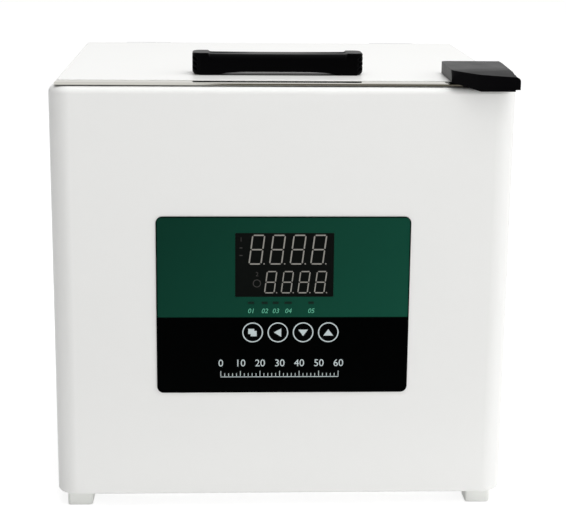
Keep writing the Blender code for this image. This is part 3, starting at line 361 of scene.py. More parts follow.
def rounded(x0, x1, y0, y1, radius, steps=ARC):
    """Rounded rectangle, anticlockwise from the lower left. A corner: centre + radius * (cos a, sin a)."""
    sweep = np.linspace(0, math.pi / 2, steps + 1)
    angles = (np.array([2, 3, 0, 1])[:, None] * math.pi / 2 + sweep).ravel()
    across = np.repeat([x0 + radius, x1 - radius, x1 - radius, x0 + radius], steps + 1)
    up = np.repeat([y0 + radius, y0 + radius, y1 - radius, y1 - radius], steps + 1)
    return np.stack([across + radius * np.cos(angles), up + radius * np.sin(angles)], axis=1)


def circle(x, y, radius, sides=SIDES):
    """Points at equal angles: (x + radius * cos a, y + radius * sin a)."""
    angles = np.arange(sides) * 2 * math.pi / sides
    return np.stack([x + radius * np.cos(angles), y + radius * np.sin(angles)], axis=1)


def shrinking_rounded(x0, x1, y0, y1, radius, steps=ARC):
    """A rounded rectangle as a function of how far it is drawn in. Its corners shrink with it."""
    def outline(inset):
        corner = max(radius - inset, radius / 20)
        return rounded(x0 + inset, x1 - inset, y0 + inset, y1 - inset, corner, steps)
    return outline


def outline_of(low, high, axes, radius, steps=ARC, grow=0.0):
    """A box's rounded outline across two axes, drawn out by grow, as a function of how far it is drawn in."""
    u, v = ("xyz".index(axis) for axis in axes)
    return shrinking_rounded(low[u] - grow, high[u] + grow, low[v] - grow, high[v] + grow, radius, steps)


def shrinking_circle(x, y, radius, sides=SIDES):
    """A circle as a function of how far it is drawn in."""
    return lambda inset: circle(x, y, radius - inset, sides)


def around(centre, width):
    """The two ends of a width about a centre."""
    return centre - width / 2, centre + width / 2


def lay(points, depth, axis):
    """Puts flat points (u, v) at a depth along one axis: (u, v) are the other two axes in order."""
    columns = [points[:, 0], points[:, 1]]
    columns.insert("xyz".index(axis), np.full(len(points), depth))
    return np.stack(columns, axis=1)


def cabinet_ring(inset, z):
    """The cabinet's plan drawn in by inset."""
    corner = max(CORNER_RADIUS - inset, SHEET)
    return lay(rounded(LEFT + inset, RIGHT - inset, FRONT + inset, BACK - inset, corner), z, "z")


def chamber_ring(outset, z):
    """The chamber's plan drawn out from its inner walls."""
    x0 = TUB_LOW.x + TUB_FLANGE - outset
    x1 = TUB_HIGH.x - TUB_FLANGE + outset
    y0 = TUB_LOW.y + TUB_FLANGE - outset
    y1 = TUB_HIGH.y - TUB_FLANGE + outset
    return lay(rounded(x0, x1, y0, y1, max(CHAMBER_RADIUS + outset, SHEET)), z, "z")


def lid_ring(inset, z, ahead=0.0):
    """The lid's plan drawn in by inset, and at its front by a little more."""
    corner = max(LID_CORNER - inset, SHEET)
    plan = rounded(TRIM_LOW.x + inset, TRIM_HIGH.x - inset, TRIM_LOW.y + inset + ahead, TRIM_HIGH.y - inset,
                   corner)
    return lay(plan, z, "z")


def bend(centre, height, radius, rise, start, end, steps=FINE_ARC):
    """Pairs of inset and height on part of an ellipse: (centre + radius * cos a, height + rise * sin a)."""
    angles = np.radians(np.linspace(start, end, steps + 1))
    return list(zip(centre + radius * np.cos(angles), height + rise * np.sin(angles)))


# Meshes

def skin(name, rings, closed=False):
    """Quads between rings of points: (i, j) joins (i, j + 1), (i + 1, j + 1) and (i + 1, j), all round."""
    rings = np.asarray(rings, float)
    rows, count = rings.shape[:2]
    index = np.arange(rows * count).reshape(rows, count)
    low = index if closed else index[:-1]
    high = np.roll(index, -1, axis=0) if closed else index[1:]
    quads = np.stack([low, np.roll(low, -1, axis=1), np.roll(high, -1, axis=1), high], axis=-1)
    faces = quads.reshape(-1, 4).tolist()
    if not closed:
        faces += [index[0][::-1].tolist(), index[-1].tolist()]
    return solid(name, rings.reshape(-1, 3), faces)


def solid(name, points, faces):
    """A mesh object from points and faces, turned the right way out."""
    mesh = bpy.data.meshes.new(name)
    mesh.from_pydata(points.tolist(), [], faces)
    face_outwards(mesh)
    thing = bpy.data.objects.new(name, mesh)
    bpy.context.collection.objects.link(thing)
    return thing


def face_outwards(mesh):
    """Flips the faces where the signed volume, the sum of a . (b x c) over the triangles, is negative."""
    mesh.calc_loop_triangles()
    corners = np.empty(len(mesh.loop_triangles) * 3, np.int32)
    mesh.loop_triangles.foreach_get("vertices", corners)
    points = np.empty(len(mesh.vertices) * 3)
    mesh.vertices.foreach_get("co", points)
    a, b, c = points.reshape(-1, 3)[corners.reshape(-1, 3)].transpose(1, 0, 2)
    if np.einsum("ij,ij->", a, np.cross(b, c)) < 0:
        mesh.flip_normals()


def plate(name, outline, low, high, edge=GAP, axis="y", steps=3):
    """Flat solid with rounded rims: drawn in by edge * (1 - sin t) at edge * (1 - cos t) from each face."""
    turn = np.linspace(0, math.pi / 2, steps + 1)
    insets = edge * (1 - np.sin(turn))
    depths = edge * (1 - np.cos(turn))
    rings = [lay(outline(inset), low + depth, axis) for inset, depth in zip(insets, depths)]
    rings += [lay(outline(inset), high - depth, axis) for inset, depth in zip(insets[::-1], depths[::-1])]
    return skin(name, rings)


def tablet(name, points, low, high, axis="y"):
    """A sharp-edged prism on any outline."""
    points = np.asarray(points, float)
    return skin(name, [lay(points, low, axis), lay(points, high, axis)])


def block(name, x, y, z):
    """A box between pairs of values, used as a cutter."""
    corners = [(x[0], y[0]), (x[1], y[0]), (x[1], y[1]), (x[0], y[1])]
    return tablet(name, corners, z[0], z[1], "z")


def turned(name, centre, axis, profile, sides=SIDES):
    """Turned solid: an entry (radius, along) gives the circle radius * (cos a, sin a) at that distance."""
    turn = np.array(Vector(axis).to_track_quat("Z", "Y").to_matrix())
    profile = np.asarray(profile, float)
    angles = np.arange(sides) * 2 * math.pi / sides
    radii = profile[:, :1]
    local = np.stack([radii * np.cos(angles), radii * np.sin(angles), profile[:, 1:] + 0 * angles], axis=-1)
    return skin(name, local @ turn.T + np.array(centre))


def merged(name, things):
    """One object from several that don't touch."""
    shape = bmesh.new()
    for thing in things:
        shape.from_mesh(thing.data)
        bpy.data.objects.remove(thing, do_unlink=True)
    mesh = bpy.data.meshes.new(name)
    shape.to_mesh(mesh)
    shape.free()
    made = bpy.data.objects.new(name, mesh)
    bpy.context.collection.objects.link(made)
    return made


def settle(thing):
    """Applies what the object's modifiers make of its mesh."""
    bpy.context.view_layer.update()
    evaluated = thing.evaluated_get(bpy.context.evaluated_depsgraph_get())
    mesh = bpy.data.meshes.new_from_object(evaluated)
    thing.modifiers.clear()
    thing.data = mesh
    return thing


def cut(thing, *cutters):
    """Takes the cutters out of the piece, one after the other."""
    for cutter in cutters:
        modifier = thing.modifiers.new(cutter.name, "BOOLEAN")
        modifier.operation = "DIFFERENCE"
        modifier.object = cutter
    settle(thing)
    for cutter in cutters:
        bpy.data.objects.remove(cutter, do_unlink=True)
    return thing


def soften(thing, width, segments=2, angle=30):
    """Rounds the edges sharper than the angle."""
    bevel = thing.modifiers.new("soft_edges", "BEVEL")
    bevel.width = width
    bevel.segments = segments
    bevel.limit_method = "ANGLE"
    bevel.angle_limit = math.radians(angle)
    bevel.use_clamp_overlap = True
    return thing


def copied(node, name):
    """A merged copy of a CAD node's mesh, with its flat faces whole again."""
    shape = bmesh.new()
    shape.from_mesh(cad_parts[node].data)
    bmesh.ops.remove_doubles(shape, verts=shape.verts, dist=1e-6)
    bmesh.ops.dissolve_limit(shape, angle_limit=math.radians(1), verts=shape.verts, edges=shape.edges)
    mesh = bpy.data.meshes.new(name)
    shape.to_mesh(mesh)
    shape.free()
    made = bpy.data.objects.new(name, mesh)
    bpy.context.collection.objects.link(made)
    return made


def place(thing, body, made_of, replaces=(), smooth=35):
    """Finishes a piece: material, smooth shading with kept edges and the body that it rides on."""
    mesh = thing.data
    mesh.materials.clear()
    mesh.materials.append(made_of)
    mesh.shade_smooth()
    mesh.set_sharp_from_angle(angle=math.radians(smooth))
    weigh = thing.modifiers.new("even_shading", "WEIGHTED_NORMAL")
    weigh.keep_sharp = True
    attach(thing, body)
    if replaces:
        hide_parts(*replaces)
    return thing


def place_softened(node, name, width, body, made_of):
    """Puts a soft-edged copy of a CAD node's mesh in the node's place."""
    place(soften(copied(node, name), width), body, made_of, [node])


# Materials

def new_group(name, inputs, outputs):
    """An empty shader node group with named sockets, and its input and output nodes."""
    tree = bpy.data.node_groups.new(name, "ShaderNodeTree")
    for label, kind, default in inputs:
        socket = tree.interface.new_socket(label, in_out="INPUT", socket_type=kind)
        socket.default_value = default
    for label, kind in outputs:
        tree.interface.new_socket(label, in_out="OUTPUT", socket_type=kind)
    return tree, tree.nodes.new("NodeGroupInput"), tree.nodes.new("NodeGroupOutput")


def feed(tree, socket, value):
    """Sets a socket, or links it to another node's output."""
    if isinstance(value, bpy.types.NodeSocket):
        tree.links.new(value, socket)
    else:
        socket.default_value = value


def maths(tree, operation, *values):
    """The result of a sum on numbers or sockets."""
    node = tree.nodes.new("ShaderNodeMath")
    node.operation = operation
    for socket, value in zip(node.inputs, values):
        feed(tree, socket, value)
    return node.outputs[0]


def vector_maths(tree, operation, *values):
    """The result of a sum on vectors. A length or a dot product comes out as a number."""
    node = tree.nodes.new("ShaderNodeVectorMath")
    node.operation = operation
    for socket, value in zip(node.inputs, values):
        feed(tree, socket, value)
    return node.outputs["Value" if operation in ("LENGTH", "DOT_PRODUCT") else "Vector"]


def mix_colour(tree, factor, first, second):
    """The first colour where the factor is 0 and the second where it is 1."""
    node = tree.nodes.new("ShaderNodeMix")
    node.data_type = "RGBA"
    feed(tree, node.inputs[0], factor)
    feed(tree, node.inputs[6], first)
    feed(tree, node.inputs[7], second)
    return node.outputs[2]


def noise(tree, where, scale, detail):
    """Values of a noise texture at the places given."""
    node = tree.nodes.new("ShaderNodeTexNoise")
    feed(tree, node.inputs["Vector"], where)
    feed(tree, node.inputs["Scale"], scale)
    node.inputs["Detail"].default_value = detail
    return node.outputs[0]


def fine_texture():
    """Fine grain for height, with slow patches that shift the colour and the roughness a little."""
    found = bpy.data.node_groups.get("fine_texture")
    if found:
        return found
    tree, given, made = new_group(
        "fine_texture",
        [("Place", "NodeSocketVector", (0, 0, 0)), ("Colour", "NodeSocketColor", (1, 1, 1, 1)),
         ("Tint", "NodeSocketColor", (1, 1, 1, 1)), ("Roughness", "NodeSocketFloat", 0.5),
         ("Spread", "NodeSocketFloat", 0.1), ("Grain", "NodeSocketFloat", 800.0),
         ("Patches", "NodeSocketFloat", 12.0)],
        [("Colour", "NodeSocketColor"), ("Roughness", "NodeSocketFloat"), ("Height", "NodeSocketFloat")])
    where = given.outputs["Place"]
    grain = noise(tree, where, given.outputs["Grain"], 2.0)
    patches = noise(tree, where, given.outputs["Patches"], 3.0)
    share = maths(tree, "MULTIPLY_ADD", grain, 0.35, maths(tree, "MULTIPLY", patches, 0.65))
    colour = mix_colour(tree, share, given.outputs["Colour"], given.outputs["Tint"])
    shift = maths(tree, "MULTIPLY", maths(tree, "SUBTRACT", patches, 0.5), given.outputs["Spread"])
    tree.links.new(colour, made.inputs["Colour"])
    tree.links.new(maths(tree, "ADD", given.outputs["Roughness"], shift), made.inputs["Roughness"])
    tree.links.new(grain, made.inputs["Height"])
    return tree


def rounded_area():
    """Mask of a rounded rectangle in X and Z: 1 where |max(q, 0)| + min(max(qx, qz), 0) < the radius."""
    found = bpy.data.node_groups.get("rounded_area")
    if found:
        return found
    tree, given, made = new_group(
        "rounded_area",
        [("Place", "NodeSocketVector", (0, 0, 0)), ("Centre", "NodeSocketVector", (0, 0, 0)),
         ("Half", "NodeSocketVector", (1, 1, 1)), ("Radius", "NodeSocketFloat", 0.005),
         ("Softness", "NodeSocketFloat", 0.0002)],
        [("Mask", "NodeSocketFloat")])
    offset = vector_maths(tree, "ABSOLUTE", vector_maths(tree, "SUBTRACT", given.outputs["Place"],
                                                         given.outputs["Centre"]))
    beyond = vector_maths(tree, "SUBTRACT", offset, given.outputs["Half"])
    split = tree.nodes.new("ShaderNodeSeparateXYZ")
    tree.links.new(beyond, split.inputs[0])
    radius = given.outputs["Radius"]
    across = maths(tree, "ADD", split.outputs[0], radius)
    up = maths(tree, "ADD", split.outputs[2], radius)
    outer_x = maths(tree, "MAXIMUM", across, 0.0)
    outer_z = maths(tree, "MAXIMUM", up, 0.0)
    corner = maths(tree, "SQRT", maths(tree, "ADD", maths(tree, "MULTIPLY", outer_x, outer_x),
                                       maths(tree, "MULTIPLY", outer_z, outer_z)))
    inner = maths(tree, "MINIMUM", maths(tree, "MAXIMUM", across, up), 0.0)
    distance = maths(tree, "SUBTRACT", maths(tree, "ADD", corner, inner), radius)
    ramp = maths(tree, "SUBTRACT", 0.5, maths(tree, "DIVIDE", distance, given.outputs["Softness"]))
    clamp = tree.nodes.new("ShaderNodeClamp")
    tree.links.new(ramp, clamp.inputs[0])
    tree.links.new(clamp.outputs[0], made.inputs["Mask"])
    return tree


def slow_shade():
    """A gentle slope over a surface: Place . Direction + Offset, kept between 0 and 1."""
    found = bpy.data.node_groups.get("slow_shade")
    if found:
        return found
    tree, given, made = new_group(
        "slow_shade",
        [("Place", "NodeSocketVector", (0, 0, 0)), ("Direction", "NodeSocketVector", (0, 0, 1)),
         ("Offset", "NodeSocketFloat", 0.0)],
        [("Share", "NodeSocketFloat")])
    slope = vector_maths(tree, "DOT_PRODUCT", given.outputs["Place"], given.outputs["Direction"])
    clamp = tree.nodes.new("ShaderNodeClamp")
    tree.links.new(maths(tree, "ADD", slope, given.outputs["Offset"]), clamp.inputs[0])
    tree.links.new(clamp.outputs[0], made.inputs["Share"])
    return tree


def use_group(tree, group, **values):
    """Puts a group into a tree and feeds its sockets. Underscores in the names stand for spaces."""
    node = tree.nodes.new("ShaderNodeGroup")
    node.node_tree = group
    for label, value in values.items():
        feed(tree, node.inputs[label.replace("_", " ")], value)
    return node


def solid_colour(colour):
    """A colour with its fourth channel full."""
    return (*colour, 1.0)


def scaled(colour, share):
    """A colour made lighter or darker."""
    return tuple(channel * share for channel in colour)


def start_finish(name, stretch=(1, 1, 1)):
    """A new material with its shader and its stretched object coordinates."""
    made = bpy.data.materials.new(name)
    made.use_nodes = True
    tree = made.node_tree
    shader = tree.nodes["Principled BSDF"]
    coordinates = tree.nodes.new("ShaderNodeTexCoord")
    mapping = tree.nodes.new("ShaderNodeMapping")
    mapping.inputs["Scale"].default_value = stretch
    tree.links.new(coordinates.outputs["Object"], mapping.inputs["Vector"])
    return made, tree, shader, mapping.outputs[0]


def roughen(tree, shader, texture, strength, distance=0.0002):
    """Links a texture group's roughness and its height, through a bump, to the shader."""
    bump = tree.nodes.new("ShaderNodeBump")
    bump.inputs["Strength"].default_value = strength
    bump.inputs["Distance"].default_value = distance
    tree.links.new(texture.outputs["Height"], bump.inputs["Height"])
    tree.links.new(bump.outputs[0], shader.inputs["Normal"])
    tree.links.new(texture.outputs["Roughness"], shader.inputs["Roughness"])


def finish(name, colour, roughness, metallic=0.0, tint=0.9, spread=0.08, grain=900.0, patches=14.0, bump=0.1,
           stretch=(1, 1, 1), specular=0.5, sheen=0.0):
    """A finish of one colour with the grain, patches and bump of its material, made once."""
    found = bpy.data.materials.get(name)
    if found:
        return found
    made, tree, shader, where = start_finish(name, stretch)
    texture = use_group(tree, fine_texture(), Place=where, Colour=solid_colour(colour),
                        Tint=solid_colour(scaled(colour, tint)), Roughness=roughness, Spread=spread,
                        Grain=grain, Patches=patches)
    tree.links.new(texture.outputs["Colour"], shader.inputs["Base Color"])
    shader.inputs["Metallic"].default_value = metallic
    shader.inputs["Specular IOR Level"].default_value = specular
    shader.inputs["Sheen Weight"].default_value = sheen
    shader.inputs["Sheen Roughness"].default_value = 0.35
    roughen(tree, shader, texture, bump)
    return made


def white_paint():
    chosen = settings("paint")
    return finish("powder_coat", tuple(chosen.colour), chosen.roughness, tint=0.985, spread=0.05, grain=1100,
                  patches=6, bump=chosen.peel)


def polished_steel():
    return finish("polished_rim", (0.66, 0.65, 0.60), 0.07, 1.0, tint=0.85, spread=0.06, grain=400,
                  patches=26, bump=0.02, stretch=(0.12, 0.12, 6))


def brushed_steel():
    return finish("brushed_steel", (0.76, 0.76, 0.75), 0.34, 1.0, tint=0.93, spread=0.05, grain=900,
                  patches=9, bump=0.06, stretch=(1, 1, 0.05))


def spring_steel():
    return finish("zinc_plated_steel", (0.62, 0.63, 0.64), 0.30, 1.0, tint=0.85, spread=0.15, grain=600,
                  bump=0.05)


def handle_plastic():
    return finish("handle_plastic", (0.0009, 0.0009, 0.0012), 0.33, tint=0.7, spread=0.06, grain=1500,
                  bump=0.03, specular=0.025, sheen=0.02)


def latch_plastic():
    return finish("latch_plastic", (0.0012, 0.0011, 0.0015), 0.38, tint=1.6, spread=0.12, grain=1600,
                  patches=60, bump=0.12, specular=0.045, sheen=0.02)


def black_plastic():
    return finish("moulded_black", (0.014, 0.014, 0.015), 0.42, tint=0.8, spread=0.08, grain=1500, bump=0.08,
                  specular=0.4)


def mouth_plastic():
    return finish("moulded_white", (0.72, 0.72, 0.71), 0.46, tint=0.97, grain=1300, bump=0.05)


def foot_rubber():
    return finish("foot_rubber", (0.82, 0.83, 0.80), 0.55, tint=0.94, grain=1200, bump=0.10)


def black_rubber():
    return finish("sealing_rubber", (0.02, 0.02, 0.02), 0.7, tint=1.5, grain=1200, bump=0.15)


def foam():
    return finish("foam_slab", (0.72, 0.68, 0.52), 0.85, tint=0.85, spread=0.1, grain=700, patches=40,
                  bump=0.5)


def heater_film():
    return finish("heater_film", (0.42, 0.16, 0.03), 0.45, tint=0.7, grain=900, bump=0.1)


def board_green():
    return finish("circuit_board", (0.01, 0.12, 0.05), 0.4, tint=0.75, grain=500, patches=60, bump=0.08)


def relay_blue():
    return finish("relay_blue", (0.03, 0.09, 0.30), 0.4, tint=0.85, grain=900, bump=0.06)


def window_plastic():
    return finish("window_plastic", (0.0036, 0.0046, 0.0040), 0.30, tint=0.8, spread=0.04, grain=900,
                  bump=0.01, specular=0.08)


def key_film():
    return finish("key_face", (0.0006, 0.0006, 0.0008), 0.38, tint=0.8, grain=1200, bump=0.03, specular=0.03)


def segment_plastic():
    return finish("segment_plastic", (0.30, 0.29, 0.26), 0.5, tint=0.7, grain=2500, patches=90, bump=0.02)


def pale_print():
    return finish("pale_print", tuple(settings("print").mark), 0.5, tint=0.95, grain=1500, bump=0.02)


def label_print():
    return finish("label_print", tuple(settings("print").label), 0.5, tint=0.9, grain=1500, bump=0.02)


def dim_print():
    return finish("dim_print", (0.035, 0.033, 0.03), 0.5, tint=0.8, grain=1500, bump=0.02)


def indicator_plastic():
    return finish("indicator_plastic", (0.004, 0.018, 0.012), 0.3, tint=0.8, grain=900, bump=0.02,
                  specular=0.2)


def panel_film():
    """Printed film: green above the colour break inside a thin black border, black elsewhere. The green carries
    painted light and shade: darker towards the upper left, lighter towards the lower right.
    """
    found = bpy.data.materials.get("panel_film")
    if found:
        return found
    made, tree, shader, where = start_finish("panel_film")
    green = tuple(settings("print").green)
    centre = (FILM_LOW + FILM_HIGH) / 2
    half = (FILM_HIGH - FILM_LOW) / 2 - Vector((PANEL_BORDER, -1, PANEL_BORDER))
    soft = 0.0007
    inside = use_group(tree, rounded_area(), Place=where, Centre=centre, Half=half, Radius=0.0030,
                       Softness=soft)
    upward = Vector((0, 0, 1 / soft))
    above = use_group(tree, slow_shade(), Place=where, Direction=upward, Offset=-COLOUR_BREAK / soft)
    area = maths(tree, "MULTIPLY", inside.outputs["Mask"], above.outputs["Share"])
    # Painted light and shade: the green is darkened towards the upper left and lightened towards the lower
    # right
    slope = use_group(tree, slow_shade(), Place=where, Direction=Vector((3.4, 0, -3.0)), Offset=1.05)
    dark, light = (solid_colour(scaled(green, share)) for share in (0.62, 1.3))
    green_with_painted_light = mix_colour(tree, slope.outputs["Share"], dark, light)
    texture = use_group(tree, fine_texture(), Place=where, Colour=green_with_painted_light, Tint=green_with_painted_light, Roughness=0.34, Spread=0.05,
                        Grain=1600.0, Patches=20.0)
    black = (0.0002, 0.0004, 0.0004, 1.0)
    colour = mix_colour(tree, area, black, texture.outputs["Colour"])
    tree.links.new(colour, shader.inputs["Base Color"])
    shader.inputs["Specular IOR Level"].default_value = 0.03
    roughen(tree, shader, texture, 0.03)
    return made


def dress(made_of, *nodes):
    """Gives CAD nodes that stay as they are a better material."""
    for node in nodes:
        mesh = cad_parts[node].data
        mesh.materials.clear()
        mesh.materials.append(made_of)


# Cabinet

def cabinet_skin():
    """Folded sheet: a wall of sheet thickness is carried round the plan, up from the bottom flange, over the
    top and back down inside."""
    opening = MOUTH_WIDTH + GAP
    low = BASE + BOTTOM_RADIUS
    high = TOP - TOP_RADIUS
    outside = [(BOTTOM_FLANGE, BASE)]
    outside += bend(BOTTOM_RADIUS, low, BOTTOM_RADIUS, BOTTOM_RADIUS, 270, 180)
    outside += bend(TOP_RADIUS, high, TOP_RADIUS, TOP_RADIUS, 180, 90, 8)
    inside = bend(TOP_RADIUS, high, TOP_RADIUS - SHEET, TOP_RADIUS - SHEET, 90, 180)
    inside += bend(BOTTOM_RADIUS, low, BOTTOM_RADIUS - SHEET, BOTTOM_RADIUS - SHEET, 180, 270)
    inside += [(BOTTOM_FLANGE, BASE + SHEET)]
    rings = [cabinet_ring(inset, z) for inset, z in outside]
    rings += [chamber_ring(opening, TOP), chamber_ring(opening, TOP - SHEET)]
    rings += [cabinet_ring(inset, z) for inset, z in inside]
    shell = skin("cabinet_skin", rings, closed=True)
    rear = plate("cut_rear", outline_of(COVER_LOW, COVER_HIGH, "xz", REAR_CORNER, grow=-REAR_OVERLAP),
                 BACK - 2 * SHEET, BACK + SHEET, 0)
    panel = plate("cut_panel", outline_of(*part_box("control_bezel"), "xz", PANEL_RADIUS, grow=GAP),
                  FRONT - SHEET, FRONT + 2 * SHEET, 0)
    cut(shell, rear, panel, hook_slot("cut_hook", TOP - 2 * SHEET, TOP + SHEET))
    place(shell, "cabinet", white_paint(), ["outer_shell"])


def hook_slot(name, low, high):
    """Cutter for the hook's way through a sheet."""
    behind = HOOK_HIGH.y + SLOT_CLEARANCE + LATCH_STEP
    return block(name, (HOOK_LOW.x - SLOT_CLEARANCE, HOOK_HIGH.x + SLOT_CLEARANCE),
                 (HOOK_LOW.y - SLOT_CLEARANCE, behind), (low, high))


def screw(name, centre, axis, radius=SCREW_RADIUS, height=SCREW_HEIGHT):
    """Pan head: radius * cos t at height * sin t, with a cross cut into it."""
    turn = np.linspace(0, math.pi / 2 * 0.93, FINE_ARC)
    profile = [(radius, -SCREW_SUNK), *zip(radius * np.cos(turn), height * np.sin(turn))]
    head = turned(name, centre, axis, profile, SMALL_SIDES)
    place_at = Matrix.Translation(centre) @ Vector(axis).to_track_quat("Z", "Y").to_matrix().to_4x4()
    size = (radius * CROSS_LENGTH, radius * CROSS_WIDTH)
    arms = []
    for across, along in (size, size[::-1]):
        arm = block(f"cut_{name}", around(0, across), around(0, along), (height * CROSS_FLOOR, height * 2))
        arm.data.transform(place_at)
        arms.append(arm)
    return cut(head, *arms)


def screws(name, head, spots, axis, *size):
    """Screw heads at the spots given, as one piece on the cabinet."""
    heads = [screw(f"{head}_{index}", Vector(spot), axis, *size) for index, spot in enumerate(spots)]
    place(merged(name, heads), "cabinet", spring_steel())


def rear_sheet():
    """Flat cover with soft rims, holes for the connections and a row of screws round it."""
    cover = plate("rear_sheet", outline_of(COVER_LOW, COVER_HIGH, "xz", REAR_OVERLAP), COVER_LOW.y,
                  COVER_HIGH.y, COVER_EDGE)
    deep = (COVER_LOW.y - SHEET, COVER_HIGH.y + SHEET)
    holes = [block(f"cut_{name}", around(centre.x, size[0]), deep, around(centre.z, size[1]))
             for name, centre, size in (("inlet", INLET_CENTRE, INLET_HOLE),
                                        ("rocker", ROCKER_CENTRE, ROCKER_HOLE))]
    holes.append(plate("cut_fuse", shrinking_circle(FUSE_CENTRE.x, FUSE_CENTRE.z, FUSE_HOLE), *deep, 0))
    cut(cover, *holes)
    place(cover, "cabinet", white_paint(), ["rear_cover"])
    columns = np.linspace(COVER_LOW.x + COVER_SCREW_INSET, COVER_HIGH.x - COVER_SCREW_INSET, 4)
    rows = np.linspace(COVER_LOW.z + COVER_SCREW_INSET, COVER_HIGH.z - COVER_SCREW_INSET, 3)
    spots = [(x, COVER_HIGH.y, z) for x in columns for z in rows
             if x in (columns[0], columns[-1]) or z in (rows[0], rows[-1])]
    screws("rear_screws", "rear_head", spots, (0, 1, 0))


def underside():
    """Base sheet with its screws, and rubber feet with a washer sunk in each."""
    sheet = plate("base_sheet", outline_of(PLATE_LOW, PLATE_HIGH, "xy", CORNER_RADIUS - BOTTOM_RADIUS),
                  PLATE_LOW.z, PLATE_HIGH.z, GAP, "z")
    place(sheet, "cabinet", brushed_steel(), ["base_plate"])
    columns = np.linspace(LEFT + BASE_SCREW_INSET + BASE_SCREW_SPREAD,
                          RIGHT - BASE_SCREW_INSET - BASE_SCREW_SPREAD, 3)
    spots = [(x, y, BASE) for x in columns for y in (FRONT + BASE_SCREW_INSET, BACK - BASE_SCREW_INSET)]
    screws("base_screws", "base_head", spots, (0, 0, -1))
    for row in ("front", "rear"):
        for side in ("left", "right"):
            rubber_foot(f"foot_{row}_{side}")


def rubber_foot(node):
    """Square foot with round corners and soft rims, and a sunk well with a washer in it."""
    low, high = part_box(node)
    x, y = (low.x + high.x) / 2, (low.y + high.y) / 2
    foot = plate(f"rubber_{node}", outline_of(low, high, "xy", FOOT_CORNER, 6), low.z, high.z, FOOT_EDGE, "z")
    cut(foot, turned("cut_well", (x, y, 0), (0, 0, 1), FOOT_WELL, 32))
    place(foot, "cabinet", foot_rubber(), [node])
    washer = turned(f"washer_{node}", (x, y, WASHER_PLACE), (0, 0, 1), WASHER, SMALL_SIDES)
    place(washer, "cabinet", spring_steel())


# Chamber

def chamber_liner():
    """Deep-drawn tub: a sheet carried round the chamber's plan, with a rounded floor edge and a flange."""
    floor = TUB_LOW.z + TUB_SHEET
    top = TUB_HIGH.z
    inner = bend(-TUB_FLOOR_ROUND, floor + TUB_FLOOR_ROUND, TUB_FLOOR_ROUND, TUB_FLOOR_ROUND, 360, 270)
    outer_round = TUB_FLOOR_ROUND + TUB_SHEET
    outer = bend(-TUB_FLOOR_ROUND, floor + TUB_FLOOR_ROUND, outer_round, outer_round, 270, 360)
    rings = [chamber_ring(outset, z) for outset, z in outer]
    rings += [chamber_ring(TUB_SHEET, top - TUB_SHEET), chamber_ring(TUB_FLANGE, top - TUB_SHEET),
              chamber_ring(TUB_FLANGE, top), chamber_ring(0, top)]
    rings += [chamber_ring(outset, z) for outset, z in inner]
    tub = skin("chamber_liner", rings)
    centre_x = (PROBE_LOW.x + PROBE_HIGH.x) / 2
    centre_z = (PROBE_LOW.z + PROBE_HIGH.z) / 2
    wall = TUB_LOW.y + TUB_FLANGE
    cut(tub, plate("cut_probe", shrinking_circle(centre_x, centre_z, PROBE_HOLE, SMALL_SIDES),
                   wall - 2 * SHEET, wall + 2 * TUB_SHEET, 0))
    place(tub, "cabinet", brushed_steel(), ["chamber_tub"])
    turn = np.linspace(0, math.pi / 2 * 0.95, FINE_ARC)
    radius = (PROBE_HIGH.x - PROBE_LOW.x) / 2
    length = PROBE_HIGH.y - PROBE_LOW.y
    profile = [(CORE, 0), (radius, 0), *zip(radius * np.cos(turn), length - radius + radius * np.sin(turn))]
    probe = turned("probe_rod", (centre_x, PROBE_LOW.y, centre_z), (0, 1, 0), profile, SMALL_SIDES)
    place(probe, "cabinet", spring_steel(), ["temperature_probe"])
    dress(black_rubber(), "probe_grommet")


def mouth_ring():
    """Moulded ring: a profile with a rounded inner rim carried round the chamber's mouth."""
    outer = MOUTH_WIDTH + MOUTH_LIP
    low = MOUTH_LOW.z
    lip = low + MOUTH_LIP_THICKNESS
    profile = bend(MOUTH_ROUND, TOP - MOUTH_ROUND, MOUTH_ROUND, MOUTH_ROUND, 180, 90)
    profile += [(MOUTH_WIDTH - GAP, TOP), (MOUTH_WIDTH, TOP - GAP), (MOUTH_WIDTH, lip), (outer, lip),
                (outer, low), (0, low)]
    ring = skin("mouth_ring", [chamber_ring(outset, z) for outset, z in profile], closed=True)
    place(ring, "cabinet", mouth_plastic(), ["mouth_frame"])


